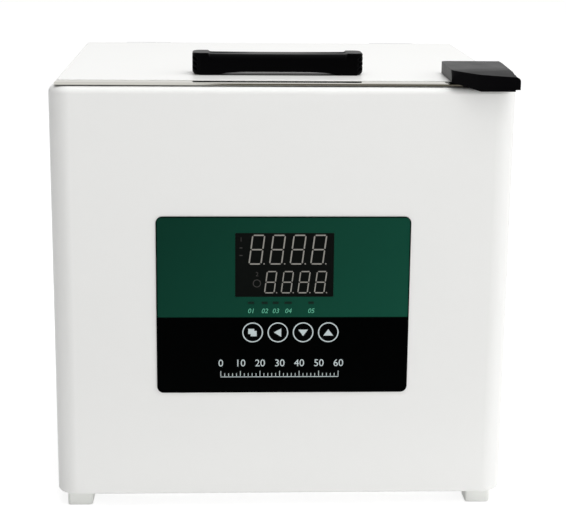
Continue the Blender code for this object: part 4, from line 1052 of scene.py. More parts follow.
def chamber_shelf():
    """Folded sheet with round-ended slots, on two legs."""
    half = SHELF_HIGH.x
    top = SHELF_HIGH.z
    centre = (half - SHELF_FOLD, top - SHELF_FOLD)
    outer = bend(*centre, SHELF_FOLD, SHELF_FOLD, 0, 90)
    inner = bend(*centre, SHELF_FOLD - SHELF_SHEET, SHELF_FOLD - SHELF_SHEET, 90, 0)
    right = [(half - SHELF_SHEET, SHELF_LOW.z), (half, SHELF_LOW.z)]
    left = [(-half, SHELF_LOW.z), (-half + SHELF_SHEET, SHELF_LOW.z)]
    left_outer, left_inner = ([(-x, z) for x, z in reversed(fold)] for fold in (outer, inner))
    outline = right + outer + left_outer + left + left_inner + inner
    shelf = tablet("slotted_shelf", outline, SHELF_LOW.y, SHELF_HIGH.y)
    width = 2 * (half - SHELF_MARGIN)
    slot = (width - (SHELF_COLUMNS - 1) * SHELF_BRIDGE) / SHELF_COLUMNS
    span = SHELF_HIGH.y - SHELF_LOW.y
    pitch = (span - 2 * SHELF_MARGIN - SHELF_SLOT_WIDTH) / (SHELF_ROWS - 1)
    cutters = []
    for column in range(SHELF_COLUMNS):
        x = -half + SHELF_MARGIN + column * (slot + SHELF_BRIDGE)
        for row in range(SHELF_ROWS):
            y = SHELF_LOW.y + SHELF_MARGIN + row * pitch
            outline = shrinking_rounded(x, x + slot, y, y + SHELF_SLOT_WIDTH, SHELF_SLOT_WIDTH * 0.49,
                                        FINE_ARC)
            cutters.append(plate(f"cut_slot_{column}_{row}", outline, top - 2 * SHELF_SHEET,
                                 top + SHELF_SHEET, 0, "z"))
    cut(shelf, merged("cut_slots", cutters))
    place(shelf, "cabinet", brushed_steel(), ["perforated_shelf"])


# Lid

def lid_rim():
    """Polished rim: a profile carried round the lid's plan. Its shoulder is an ellipse. At the front a nearly
    level band lies between the shoulder and the rolled edge of the top sheet. It rises by
    (1 + bow) * share - bow * share squared."""
    low = TRIM_LOW.z
    foot = low - LID_RIM_FOOT
    edge = TRIM_HIGH.z - LID_ROLL - LID_BAND_DROP
    ledge_top = TRIM_HIGH.z - LID_SHEET - GAP
    shelf = TOP + LID_LEDGE_RAISE
    profile = [(LID_SKIRT, low, 0), (LID_SKIRT - GAP, foot, 0), (GAP, foot, 0), (0, foot + GAP, 0)]
    shoulder = bend(LID_SHOULDER, edge - LID_SHOULDER_DROP, LID_SHOULDER, LID_SHOULDER_DROP, 180, 100, 8)
    profile += [(inset, z, 0) for inset, z in shoulder]
    for share in np.linspace(0, 1, 9)[1:]:
        rise = LID_BAND_DROP * ((1 + LID_BAND_BOW) * share - LID_BAND_BOW * share ** 2)
        profile.append((LID_SHOULDER + LID_BAND_INSET * share, edge + rise, LID_BAND * share))
    profile += [(LID_SHOULDER + LID_BAND_INSET, ledge_top, LID_BAND), (LID_LEDGE, ledge_top, 0),
                (LID_LEDGE, shelf, 0), (LID_SKIRT, shelf, 0)]
    rim = skin("lid_rim", [lid_ring(inset, z, ahead) for inset, z, ahead in profile], closed=True)
    notches = []
    for side in ("left", "right"):
        leaf_low, leaf_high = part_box(f"hinge_lid_leaf_{side}")
        notches.append(block(f"cut_leaf_{side}", (leaf_low.x - GAP, leaf_high.x + GAP),
                             (TRIM_HIGH.y - LID_SKIRT - GAP, BACK), (TOP, shelf)))
    cut(rim, *notches, hook_slot("cut_hook_rim", TOP, ledge_top + SHEET))
    place(rim, "lid", polished_steel(), ["lid_trim"])


def lid_sheet():
    """White top sheet with a soft rim, cut for the latch's hook."""
    inset = LID_SHOULDER + LID_BAND_INSET + LID_SHEET_GAP
    outline = shrinking_rounded(TRIM_LOW.x + inset, TRIM_HIGH.x - inset, TRIM_LOW.y + inset + LID_BAND,
                                TRIM_HIGH.y - inset, LID_SHEET_CORNER)
    sheet = plate("lid_sheet", outline, SHEET_LOW.z, SHEET_HIGH.z, LID_ROLL, "z", 5)
    cut(sheet, hook_slot("cut_hook_sheet", SHEET_LOW.z - SHEET, SHEET_HIGH.z + SHEET))
    place(sheet, "lid", white_paint(), ["lid_panel"])


def lid_tray():
    """Pressed tray under the lid: a sheet with rounded edges that plugs the mouth."""
    wall = -PAN_CLEARANCE
    low = PAN_LOW.z
    flange = PAN_HIGH.z - PAN_SHEET
    outer = bend(wall - PAN_ROUND, low + PAN_ROUND, PAN_ROUND, PAN_ROUND, 270, 360)
    inner_round = PAN_ROUND - PAN_SHEET
    inner = bend(wall - PAN_ROUND, low + PAN_ROUND, inner_round, inner_round, 360, 270)
    edge_x = TRIM_LOW.x + LID_LEDGE + GAP
    edge = rounded(edge_x, -edge_x, TRIM_LOW.y + LID_LEDGE + GAP, TRIM_HIGH.y - LID_LEDGE - GAP, PAN_CORNER)
    rings = [chamber_ring(outset, z) for outset, z in outer]
    rings += [chamber_ring(wall, flange), lay(edge, flange, "z"), lay(edge, PAN_HIGH.z, "z"),
              chamber_ring(wall - PAN_SHEET, PAN_HIGH.z)]
    rings += [chamber_ring(outset, z) for outset, z in inner]
    tray = skin("lid_tray", rings)
    cut(tray, hook_slot("cut_hook_tray", flange - SHEET, PAN_HIGH.z + SHEET))
    place(tray, "lid", brushed_steel(), ["lid_pan"])


def lid_seal():
    """Rubber ring with two rounded beads on its lower side."""
    outer = TUB_LOW.x + TUB_FLANGE - GASKET_LOW.x
    inner = outer - SEAL_WIDTH
    low, high = GASKET_LOW.z, GASKET_HIGH.z
    bead = (outer - inner) / 4
    rise = (high - low) * SEAL_BEAD_SHARE
    profile = [(inner, high)]
    profile += bend(inner + bead, low + rise, bead, rise, 180, 355)
    profile += bend(outer - bead, low + rise, bead, rise, 185, 360)
    profile += [(outer, high)]
    seal = skin("lid_seal", [chamber_ring(outset, z) for outset, z in profile], closed=True)
    place(seal, "lid", black_rubber(), ["lid_gasket"])


def smooth_step(value, start=0.0, width=1.0):
    """s * s * (3 - 2 * s), where s is the share of the width that lies behind, kept between 0 and 1."""
    share = np.clip((value - start) / width, 0, 1)
    return share * share * (3 - 2 * share)


def handle_plan(end):
    """Points round the handle and their outward normals. Half of the way round is laid out: the right side, a
    corner, the back and a corner. The other half is its opposite."""
    straight = (HANDLE_HIGH.x - HANDLE_LOW.x) / 2 - HANDLE_CORNER
    deep = end - HANDLE_CORNER
    sweep = np.radians(np.linspace(0, 90, 21))
    turn = np.stack([np.cos(sweep), np.sin(sweep)], axis=1)
    run = np.linspace(straight, -straight, 66)[1:-1]
    rise = np.linspace(-deep, deep, 26)[1:-1]
    normal = np.concatenate([np.stack([0 * rise + 1, 0 * rise], axis=1), turn,
                             np.stack([0 * run, 0 * run + 1], axis=1), turn[::-1] * (-1, 1)])
    spine = np.concatenate([np.stack([0 * rise + straight, rise], axis=1), 0 * turn + (straight, deep),
                            np.stack([run, 0 * run + deep], axis=1), 0 * turn + (-straight, deep)])
    normal = np.concatenate([normal, -normal])
    return np.concatenate([spine, -spine]) + normal * HANDLE_CORNER, normal


def carry_handle():
    """Moulded handle on a plan with round corners. Each height is drawn in by the foot, by the end grooves,
    which come down towards the front with the square of the depth, and by the crown, an ellipse that grows
    from the end pads to the bar."""
    chosen = settings("handle")
    centre = (HANDLE_LOW + HANDLE_HIGH) / 2
    end = (HANDLE_HIGH.y - HANDLE_LOW.y) / 2
    low = HANDLE_LOW.z - HANDLE_SEAT
    tall = HANDLE_HIGH.z - low
    edge, normal = handle_plan(end)

    reach = np.abs(edge[:, 0])
    bar = 1 - smooth_step(reach, HANDLE_PAD, HANDLE_PAD_BLEND)
    crown_in = HANDLE_PAD_CROWN + (chosen.crown - HANDLE_PAD_CROWN) * bar
    crown_drop = HANDLE_PAD_DROP + (HANDLE_BAR_DROP - HANDLE_PAD_DROP) * bar
    peak = tall - (chosen.sag + HANDLE_BOW * (1 - (reach / reach.max()) ** 2)) * bar
    side = np.abs(normal[:, 0])
    grooved = smooth_step(side, *HANDLE_RIB_STEP)
    foot = HANDLE_FOOT + HANDLE_END_FOOT * smooth_step(side, *HANDLE_FOOT_STEP)
    droop = HANDLE_DROOP * (0.5 - 0.5 * edge[:, 1] / end) ** 2

    rings = [(foot * (1 - math.sin(angle)), foot * (1 - math.cos(angle)))
             for angle in np.linspace(0, math.pi / 2, 7)]
    for share in np.linspace(0, 1, 42)[1:-1]:
        height = foot + share * (peak - crown_drop - foot)
        phase = (height + droop - HANDLE_RIB_START) / (tall - HANDLE_RIB_START) * chosen.ribs
        wave = smooth_step(0.5 - 0.5 * np.cos(2 * math.pi * phase), *HANDLE_WAVE_STEP)
        fade = smooth_step(share, 0, HANDLE_RIB_FADES[0]) * smooth_step(1 - share, 0, HANDLE_RIB_FADES[1])
        rings.append((chosen.rib_depth * wave * grooved * fade, height))
    rings += [(crown_in * (1 - math.cos(angle)), peak - crown_drop * (1 - math.sin(angle)))
              for angle in np.linspace(0, math.pi / 2, 15)]
    points = [np.stack([centre.x + edge[:, 0] - normal[:, 0] * inset,
                        centre.y + edge[:, 1] - normal[:, 1] * inset, low + height], axis=1)
              for inset, height in rings]
    middle = np.array([0, centre.y, 0])
    points += [middle + (points[-1] - middle) * (1, share, 1) for share in (0.6, 0.25, 0.02)]
    handle = skin("carry_handle", points)

    half = HANDLE_SLOT / 2
    across = np.linspace(-1, 1, 33)
    arch = HANDLE_SLOT_LOW + (HANDLE_SLOT_RISE - HANDLE_SLOT_LOW) * (1 - across ** 6)
    span = [(half * 1.08 * share, height) for share, height in zip(across, arch)]
    front = centre.y - end
    wall_foot = front + HANDLE_WALL_FOOT
    gap = tablet("cut_gap", np.array(span) + (centre.x, low), front - 0.002, wall_foot + 0.001)
    back = centre.y + end + BEYOND
    roof = HANDLE_HIGH.z - HANDLE_ROOF
    wall = front + HANDLE_WALL
    section = [(wall_foot, low - BEYOND), (back, low - BEYOND), (back, roof), (wall + HANDLE_ROOF_BEND, roof),
               (wall, roof - HANDLE_ROOF_BEND), (wall, low + HANDLE_WALL_BEND[1]),
               (wall_foot, low + HANDLE_WALL_BEND[0])]
    hollow = tablet("cut_fingers", section, centre.x - half, centre.x + half, "x")
    cut(handle, gap, hollow)
    place(handle, "lid", handle_plastic(), ["lid_handle"])


# Latch

def latch_grip():
    """Sliding cap: swept-back front, sloping nose, chamfered side and soft edges, hollowed for its rail."""
    front, back = CAP_LOW.y, CAP_HIGH.y
    left, lip_right = CAP_LOW.x, CAP_HIGH.x
    right = lip_right - LATCH_LIP
    low, top = CAP_LOW.z, CAP_HIGH.z
    lid_top = SHEET_HIGH.z
    step = FRONT - LATCH_STEP
    turn = np.radians(np.linspace(0, 90, 7))
    corner = np.stack([left + LATCH_TAPER + LATCH_BACK_ROUND - LATCH_BACK_ROUND * np.sin(turn),
                       back - LATCH_BACK_ROUND + LATCH_BACK_ROUND * np.cos(turn)], axis=1)
    outline = [(left, step), (left + LATCH_NOSE, front), (lip_right, front), (lip_right, step), (right, step),
               (right, back), *corner]
    cap = tablet("latch_grip", outline, low, top, "z")
    facet = wedge("cut_facet", Vector((left, step, top)), Vector((lip_right, front, lid_top + LATCH_RISE)),
                  Vector((lip_right, FRONT + LATCH_FACET, top)))
    cut(cap, facet)
    blend_crease(cap, LATCH_BLEND)
    cut(cap, *latch_cutters(front, back, left, right, lip_right, low, top))
    settle(soften(cap, LATCH_EDGE, 4, 25))
    rail_y = (RAIL_LOW.y - RAIL_RUN, back + SHEET)
    head = block("cut_head", (RAIL_LOW.x - GAP, RAIL_HIGH.x + GAP), rail_y,
                 (RAIL_HIGH.z - RAIL_HEAD_DEPTH, RAIL_HIGH.z + GAP))
    foot = block("cut_foot", (RAIL_LOW.x + RAIL_NECK_INSET, RAIL_HIGH.x - RAIL_NECK_INSET), rail_y,
                 (lid_top, RAIL_HIGH.z - RAIL_NECK_DEPTH))
    hook = block("cut_hook_cap", (HOOK_LOW.x - GAP, HOOK_HIGH.x + GAP),
                 (HOOK_LOW.y - GAP, HOOK_LOW.y + HOOK_STEM), (lid_top, HOOK_HIGH.z + GAP))
    cut(cap, head, foot, hook)
    place(cap, "latch", latch_plastic(), ["latch_cap"])
    place_softened("latch_rail", "latch_runner", PIECE_EDGE, "lid", black_plastic())
    place_softened("latch_hook", "latch_claw", PIECE_EDGE, "latch", spring_steel())


def latch_cutters(front, back, left, right, lip_right, low, top):
    """What the cap leaves out: the room for the lid and the body, the nose's slope, the side's chamfer, the
    step over the lip and the lip's round shoulder, radius * (cos a, sin a) about its centre."""
    lid_top = SHEET_HIGH.z
    step = FRONT - LATCH_STEP
    lid_edge = TRIM_LOW.y - LATCH_TRAVEL - GAP
    under = low - SHEET
    wide = (left - SHEET, lip_right + SHEET)
    over_lid = block("cut_over_lid", wide, (lid_edge - GAP, back + SHEET), (under, lid_top + GAP))
    over_body = block("cut_over_body", wide, (front + LATCH_LIP, lid_edge), (under, TOP + 2 * GAP))
    slope = [(left - GAP, under), (left + LATCH_NOSE, under), (left + LATCH_NOSE, low),
             (left - GAP, lid_top + GAP)]
    nose = tablet("cut_nose", slope, front - SHEET, lid_edge)
    side = wedge("cut_side", Vector((right, back - LATCH_CHAMFER_START, top)),
                 Vector((right, front, top - LATCH_CHAMFER_DROP)),
                 Vector((right - LATCH_CHAMFER, front, top)))
    lip = block("cut_lip", (right, lip_right + SHEET), (front - SHEET, step + SHEET),
                (under, low + LATCH_STEP))
    angles = np.radians(np.linspace(0, 90, 9))
    centre_x = lip_right - LATCH_ROUND
    z = lid_top + LATCH_LIP_TOP
    round_over = np.stack([centre_x + LATCH_ROUND * np.cos(angles),
                           z - LATCH_ROUND + LATCH_ROUND * np.sin(angles)], axis=1)
    past = [(centre_x, z + BEYOND), (lip_right + SHEET, z + BEYOND), (lip_right + SHEET, z - LATCH_ROUND)]
    shoulder = tablet("cut_shoulder", [*round_over, *past], front - SHEET, step + GAP)
    return over_lid, over_body, nose, side, lip, shoulder


def blend_crease(thing, width):
    """Turns the shallow creases of a piece, those under 20 degrees, into arcs of the width given."""
    shape = bmesh.new()
    shape.from_mesh(thing.data)
    bmesh.ops.remove_doubles(shape, verts=shape.verts, dist=1e-6)
    bmesh.ops.dissolve_limit(shape, angle_limit=math.radians(1), verts=shape.verts, edges=shape.edges)
    creases = [edge for edge in shape.edges if len(edge.link_faces) == 2
               and math.radians(2) < edge.calc_face_angle() < math.radians(20)
               and all(face.normal.z > 0.9 for face in edge.link_faces)]
    bmesh.ops.bevel(shape, geom=creases, offset=width, offset_type="OFFSET", segments=8, profile=0.5,
                    affect="EDGES")
    shape.to_mesh(thing.data)
    shape.free()


def wedge(name, first, second, third, size=0.2):
    """Cutter above the plane through three points: a square on that plane, raised along the upward normal."""
    normal = (second - first).cross(third - first).normalized()
    if normal.z < 0:
        normal.negate()
    along = (second - first).normalized()
    other = normal.cross(along)
    centre = (first + second + third) / 3
    corners = [centre + along * u * size + other * v * size for u, v in ((-1, -1), (1, -1), (1, 1), (-1, 1))]
    rings = np.array([[list(point) for point in corners], [list(point + normal * size) for point in corners]])
    return skin(name, rings)


# Hinges

def hinges():
    """Leaves and pins with soft edges, and countersunk screws in the upright leaves."""
    for side in ("left", "right"):
        for leaf, name, body in (("body", "upright", "cabinet"), ("lid", "lid", "lid")):
            place_softened(f"hinge_{leaf}_leaf_{side}", f"{name}_leaf_{side}", LEAF_EDGE, body,
                           spring_steel())
        low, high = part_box(f"hinge_pin_{side}")
        radius = (high.z - low.z) / 2
        tip = radius * PIN_END_SHARE
        length = high.x - low.x
        profile = [(tip, 0), (radius, PIN_EDGE), (radius, length - PIN_EDGE), (tip, length)]
        pin = turned(f"pin_{side}", (low.x, (low.y + high.y) / 2, (low.z + high.z) / 2), (1, 0, 0), profile,
                     SMALL_SIDES)
        place(pin, "cabinet", spring_steel(), [f"hinge_pin_{side}"])
        low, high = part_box(f"hinge_body_leaf_{side}")
        columns = around((low.x + high.x) / 2, LEAF_SCREW_PITCH)
        spots = [(x, low.y + LEAF_THICKNESS, low.z + height)
                 for x in columns for height in LEAF_SCREW_HEIGHTS]
        screws(f"hinge_screws_{side}", f"hinge_head_{side}", spots, (0, 1, 0), *SMALL_SCREW)


# Control panel

def key_places():
    """Each key's centre in X and Z."""
    boxes = [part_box(f"key_{index}") for index in range(1, KEY_COUNT + 1)]
    return [((low.x + high.x) / 2, (low.z + high.z) / 2) for low, high in boxes]


def panel_sheet():
    """Printed film with soft rims, cut for the window and the keys."""
    film = plate("panel_sheet", outline_of(FILM_LOW, FILM_HIGH, "xz", PANEL_RADIUS), FILM_LOW.y, FILM_HIGH.y,
                 FILM_EDGE)
    deep = (FILM_LOW.y - SHEET, FILM_HIGH.y + GAP)
    play = 0.0001
    window = block("cut_window", (LENS_LOW.x - play, LENS_HIGH.x + play), deep,
                   (LENS_LOW.z - play, LENS_HIGH.z + play))
    holes = [plate(f"cut_key_{index}", shrinking_circle(x, z, KEY_RADIUS + KEY_PLAY, 64), *deep, 0)
             for index, (x, z) in enumerate(key_places())]
    cut(film, window, *holes)
    place(film, "cabinet", panel_film(), ["control_overlay"])


def bar(x0, z0, x1, z1, stroke):
    """Hexagonal bar of a digit: a strip between two points with pointed ends."""
    start, end = np.array([x0, z0]), np.array([x1, z1])
    along = (end - start) / np.linalg.norm(end - start)
    side = np.array([-along[1], along[0]]) * stroke / 2
    tip = along * stroke / 2
    return np.array([start, start + tip - side, end - tip - side, end, end - tip + side, start + tip + side])


def digit(name, x, z, width, height, stroke, slant, face):
    """Seven bars and a point, leaning by x + (z - z0) * tan(slant)."""
    trim = stroke / 2
    gap = stroke * 0.45
    left, right = trim, width - trim
    low, middle, high = trim, height / 2, height - trim
    strokes = [(left + gap, high, right - gap, high), (left + gap, middle, right - gap, middle),
               (left + gap, low, right - gap, low), (left, low + gap, left, middle - gap),
               (left, middle + gap, left, high - gap), (right, low + gap, right, middle - gap),
               (right, middle + gap, right, high - gap)]
    things = []
    for index, ends in enumerate(strokes):
        points = bar(*ends, stroke)
        points[:, 0] += points[:, 1] * math.tan(slant)
        things.append(tablet(f"{name}_{index}", points + (x, z), face - PRINT_THICKNESS, face))
    dot = shrinking_circle(x + width + stroke * 1.9, z + stroke * 0.55, stroke * 0.55, 12)
    things.append(plate(f"{name}_dot", dot, face - PRINT_THICKNESS, face, 0))
    return things


def display():
    """Dark window with two rows of unlit digits and small plain symbols beside them."""
    chosen = settings("print")
    window = plate("display_window", outline_of(LENS_LOW, LENS_HIGH, "xz", 0.0006, 3), LENS_LOW.y,
                   LENS_HIGH.y, 0.0001)
    place(window, "cabinet", window_plastic(), ["display_lens"])
    face = LENS_LOW.y
    lean = math.tan(chosen.slant)
    things = []
    for index in range(DIGIT_COUNT):
        for row, left, pitch, low, width, height in DIGIT_ROWS:
            stroke = getattr(chosen, f"{row}_stroke")
            things += digit(f"{row}_{index}", left + index * pitch, PRINT_BASE + low, width - height * lean,
                            height, stroke, chosen.slant, face)
    place(merged("display_digits", things), "cabinet", segment_plastic())
    marks = [ring_mark("mark_ring", -0.0188, PRINT_BASE + 0.1647, 0.0030, 0.0006, face)]
    for index, (x, z) in enumerate(((-0.0306, 0.1916), (-0.0306, 0.1859))):
        outline = shrinking_rounded(*around(x, 0.0024), *around(PRINT_BASE + z, 0.0007), 0.0003, 2)
        marks.append(plate(f"mark_{index}", outline, face - PRINT_THICKNESS, face, 0))
    rows = [("1", -0.0306, PRINT_BASE + 0.1978), ("2", -0.0187, PRINT_BASE + 0.1716)]
    marks += numbers("row", rows, 0.0046, face)
    place(merged("display_marks", marks), "cabinet", dim_print())


def ring_mark(name, x, z, radius, width, face):
    """Flat printed ring: four circles, outer and inner, at the face and just in front of it."""
    front = face - PRINT_THICKNESS
    rings = [lay(circle(x, z, r, 64), depth, "y") for r, depth in
             ((radius, face), (radius, front), (radius - width, front), (radius - width, face))]
    return skin(name, rings, closed=True)


def numbers(name, entries, size, face, shear=0.0):
    """Plain numbers as thin meshes: text is made a mesh, then stood upright at its place."""
    upright = Matrix.Rotation(math.pi / 2, 4, "X")
    things = []
    for index, (text, x, z) in enumerate(entries):
        curve = bpy.data.curves.new(f"{name}_{index}", "FONT")
        curve.body = text
        curve.size = size
        curve.align_x = "CENTER"
        curve.align_y = "CENTER"
        curve.extrude = PRINT_THICKNESS / 2
        curve.resolution_u = 4
        curve.shear = shear
        source = bpy.data.objects.new(f"{name}_{index}", curve)
        bpy.context.collection.objects.link(source)
        bpy.context.view_layer.update()
        mesh = bpy.data.meshes.new_from_object(source.evaluated_get(bpy.context.evaluated_depsgraph_get()))
        bpy.data.objects.remove(source, do_unlink=True)
        mesh.transform(Matrix.Translation((x, face - PRINT_THICKNESS / 2, z)) @ upright)
        made = bpy.data.objects.new(f"{name}_{index}", mesh)
        bpy.context.collection.objects.link(made)
        things.append(made)
    return things


def panel_print():
    """Indicator windows with plain numbers under them, and a plain scale in the black part."""
    face = FILM_LOW.y
    front = face - PRINT_THICKNESS
    lamps = [plate(f"lamp_{index}", shrinking_rounded(x0, x1, *INDICATOR_ROWS, 0.0005, 3), front, face, 0)
             for index, (x0, x1) in enumerate(INDICATORS)]
    place(merged("indicator_windows", lamps), "cabinet", indicator_plastic())
    labels = [(f"0{index + 1}", (x0 + x1) / 2, LABEL_ROW) for index, (x0, x1) in enumerate(INDICATORS)]
    things = numbers("label", labels, LABEL_SIZE, face, LABEL_LEAN)
    place(merged("indicator_numbers", things), "cabinet", label_print())
    places = np.linspace(SCALE_LEFT, SCALE_RIGHT, SCALE_STEPS + 1)
    entries = [(str(10 * index), x, SCALE_ROW) for index, x in enumerate(places)]
    things = numbers("scale", entries, SCALE_SIZE, face)
    foot = SCALE_LINE + 4 * TICK_HALF - 0.0001
    for index, x in enumerate(np.linspace(SCALE_LEFT, SCALE_RIGHT, TICKS_PER_STEP * SCALE_STEPS + 1)):
        head = foot + (SHORT_TICK if index % TICKS_PER_STEP else LONG_TICK)
        things.append(block(f"tick_{index}", (x - TICK_HALF, x + TICK_HALF), (front, face), (foot, head)))
    things.append(block("tick_line", (SCALE_LEFT - TICK_HALF, SCALE_RIGHT + TICK_HALF), (front, face),
                        (SCALE_LINE, SCALE_LINE + 2 * TICK_HALF)))
    place(merged("temperature_scale", things), "cabinet", pale_print())


def symbol(index, x, z):
    """Outline of a key's symbol, in millimetres from the key's centre: two squares, or a triangle."""
    outlines = (
        [(-3.3, -1.2), (-1.5, -1.2), (-1.5, -3.0), (3.0, -3.0),
         (3.0, 1.2), (1.2, 1.2), (1.2, 2.8), (-3.3, 2.8)],
        [(-3.0, 0.0), (2.5, -3.5), (2.5, 3.1)],
        [(0.0, -2.9), (3.6, 2.1), (-3.6, 2.1)],
        [(-3.7, -2.6), (3.7, -2.6), (0.0, 2.4)],
    )
    return np.array(outlines[index]) * 0.001 + (x, z)


def key_caps():
    """Round keys with soft rims, each with its printed ring and symbol."""
    for index, (x, z) in enumerate(key_places()):
        node = f"key_{index + 1}"
        low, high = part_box(node)
        radius = (high.x - low.x) / 2
        length = high.y - low.y
        dome = bend(radius - KEY_EDGE, KEY_EDGE, KEY_EDGE, KEY_EDGE, 270, 360, 3)
        profile = [(CORE, 0), *dome, (radius, KEY_THICKNESS), (KEY_STEM, KEY_THICKNESS), (KEY_STEM, length),
                   (CORE, length)]
        cap = turned(f"round_{node}", (x, low.y, z), (0, 1, 0), profile, 64)
        body = ("menu_key", "shift_key", "down_key", "up_key")[index]
        place(cap, body, key_film(), [node])
        marks = [ring_mark(f"ring_{node}", x, z, radius - RING_INSET, RING_WIDTH, low.y),
                 tablet(f"symbol_{node}", symbol(index, x, z), low.y - PRINT_THICKNESS, low.y)]
        place(merged(f"print_{node}", marks), body, pale_print())


# Rear connections

INLET_CENTRE = (INLET_LOW + INLET_HIGH) / 2
FUSE_CENTRE = (FUSE_LOW + FUSE_HIGH) / 2
ROCKER_CENTRE = (ROCKER_LOW + ROCKER_HIGH) / 2


def inlet():
    """Appliance inlet: a rounded flange on a body, with a six-sided socket, three blades and two screws."""
    face = INLET_HIGH.y
    x, z = INLET_CENTRE.x, INLET_CENTRE.z
    flange = plate("inlet_flange", outline_of(INLET_LOW, INLET_HIGH, "xz", INLET_CORNER),
                   face - INLET_FLANGE, face, INLET_FLANGE_EDGE)
    outline = shrinking_rounded(*around(x, INLET_BODY[0]), *around(z, INLET_BODY[1]), 0.002, 4)
    body = plate("inlet_body", outline, INLET_LOW.y, face - INLET_FLANGE / 2, PIECE_EDGE)
    union = flange.modifiers.new("body", "BOOLEAN")
    union.operation = "UNION"
    union.object = body
    settle(flange)
    bpy.data.objects.remove(body, do_unlink=True)
    half, tall, notch = INLET_SOCKET
    outline = [(-half, -tall), (half, -tall), (half, tall - notch), (half - notch, tall),
               (notch - half, tall), (-half, tall - notch)]
    cut(flange, tablet("cut_socket", np.array(outline) + (x, z), INLET_LOW.y + 0.002, face + 0.002))
    flange.name = "mains_inlet"
    place(soften(flange, PIECE_EDGE, 2, 50), "cabinet", black_plastic(), ["power_inlet"])
    blades = []
    for index, (step, rise) in enumerate(((-1, -1), (0, 1), (1, -1))):
        outline = shrinking_rounded(*around(x + step * PIN_PITCH, PIN_SIZE[0]),
                                    *around(z + rise * 0.002, PIN_SIZE[1]), 0.0004, 2)
        blades.append(plate(f"blade_{index}", outline, INLET_LOW.y + 0.001, BACK - 0.002, 0.0004))
    place(merged("inlet_blades", blades), "cabinet", spring_steel())
    spots = [(x + sign * INLET_SCREW_REACH, face, z) for sign in (-1, 1)]
    screws("inlet_screws", "inlet_head", spots, (0, 1, 0), *INLET_SCREW)


def fuse_cap():
    """Fuse holder: a turned body, a fluted cap whose radius is r * (1 + a * (cos(n t) - 1)), and a slot."""
    face = FUSE_HIGH.y
    start = FUSE_LOW.y
    radius = (FUSE_HIGH.x - FUSE_LOW.x) / 2
    angles = np.arange(96) * 2 * math.pi / 96
    flutes = 1 + FUSE_FLUTE_DEPTH * (np.cos(FUSE_FLUTES * angles) - 1)
    plain = np.ones_like(angles)
    profile = [(CORE, start, plain), (FUSE_BODY, start, plain), (FUSE_BODY, face - 0.002, plain),
               (radius, face - 0.002, flutes), (radius, face - 0.0004, flutes),
               (radius - 0.0004, face, plain), (CORE, face, plain)]
    rings = [np.stack([FUSE_CENTRE.x + size * wave * np.cos(angles), np.full_like(angles, y),
                       FUSE_CENTRE.z + size * wave * np.sin(angles)], axis=1) for size, y, wave in profile]
    holder = skin("fuse_cap", rings)
    cut(holder, block("cut_slot", around(FUSE_CENTRE.x, FUSE_SLOT[0]), (face - 0.0009, face + SHEET),
                      around(FUSE_CENTRE.z, FUSE_SLOT[1])))
    place(holder, "cabinet", black_plastic(), ["fuse_holder"])


def rocker():
    """Switch frame with soft rims and a paddle that carries a line and a circle."""
    place_softened("rocker_frame", "switch_frame", 0.0004, "cabinet", black_plastic())
    place_softened("rocker_paddle", "switch_paddle", PIECE_EDGE, "rocker", black_plastic())
    paddle_marks()


def paddle_marks():
    """A line and a circle, each turned about X twice: by its half of the dished paddle, then by its tilt."""
    line = tablet("paddle_line", rounded(-0.00035, 0.00035, -0.0018, 0.0018, 0.0001, 2), 0, PRINT_THICKNESS)
    ring = ring_mark("paddle_ring", 0, 0, 0.0018, 0.0006, PRINT_THICKNESS)
    pivot = Vector((ROCKER_CENTRE.x, COVER_HIGH.y + GAP - PADDLE_PIVOT, ROCKER_CENTRE.z))
    slope = math.atan(PADDLE_DISH / PADDLE_HALF)
    for mark, side in ((line, -1), (ring, 1)):
        middle = Vector((0, PADDLE_FACE - PADDLE_DISH / 2, side * PADDLE_HALF / 2))
        mark.data.transform(Matrix.Translation(pivot) @ Matrix.Rotation(PADDLE_TILT, 4, "X")
                            @ Matrix.Translation(middle) @ Matrix.Rotation(-side * slope, 4, "X"))
    place(merged("paddle_marks", [line, ring]), "rocker", pale_print())


# Inside

def inner_parts():
    """CAD nodes that stay as they are, each with its own finish."""
    dress(foam(), "insulation_floor", "insulation_front", "insulation_rear", "insulation_left",
          "insulation_right", "lid_insulation")
    dress(heater_film(), "heater_band")
    dress(board_green(), "control_board", "power_board")
    dress(relay_blue(), "heater_relay")
    switches = [f"key_switch_{index}" for index in range(1, KEY_COUNT + 1)]
    dress(black_plastic(), "overheat_cutout", "control_bezel", "control_case", "display_module", *switches)
    dress(spring_steel(), "handle_screw_left", "handle_screw_right", "latch_keeper")


# Stage

CAMERA_PLACE = Vector((-0.0474, -1.24295, 0.4573))
CAMERA_YAW = math.radians(2.50)
CAMERA_PITCH = math.radians(13.61)
CAMERA_ROLL = math.radians(0.53)
FOCAL_PIXELS = 1528.4
IMAGE_WIDTH = 566
SENSOR_WIDTH = 36.0


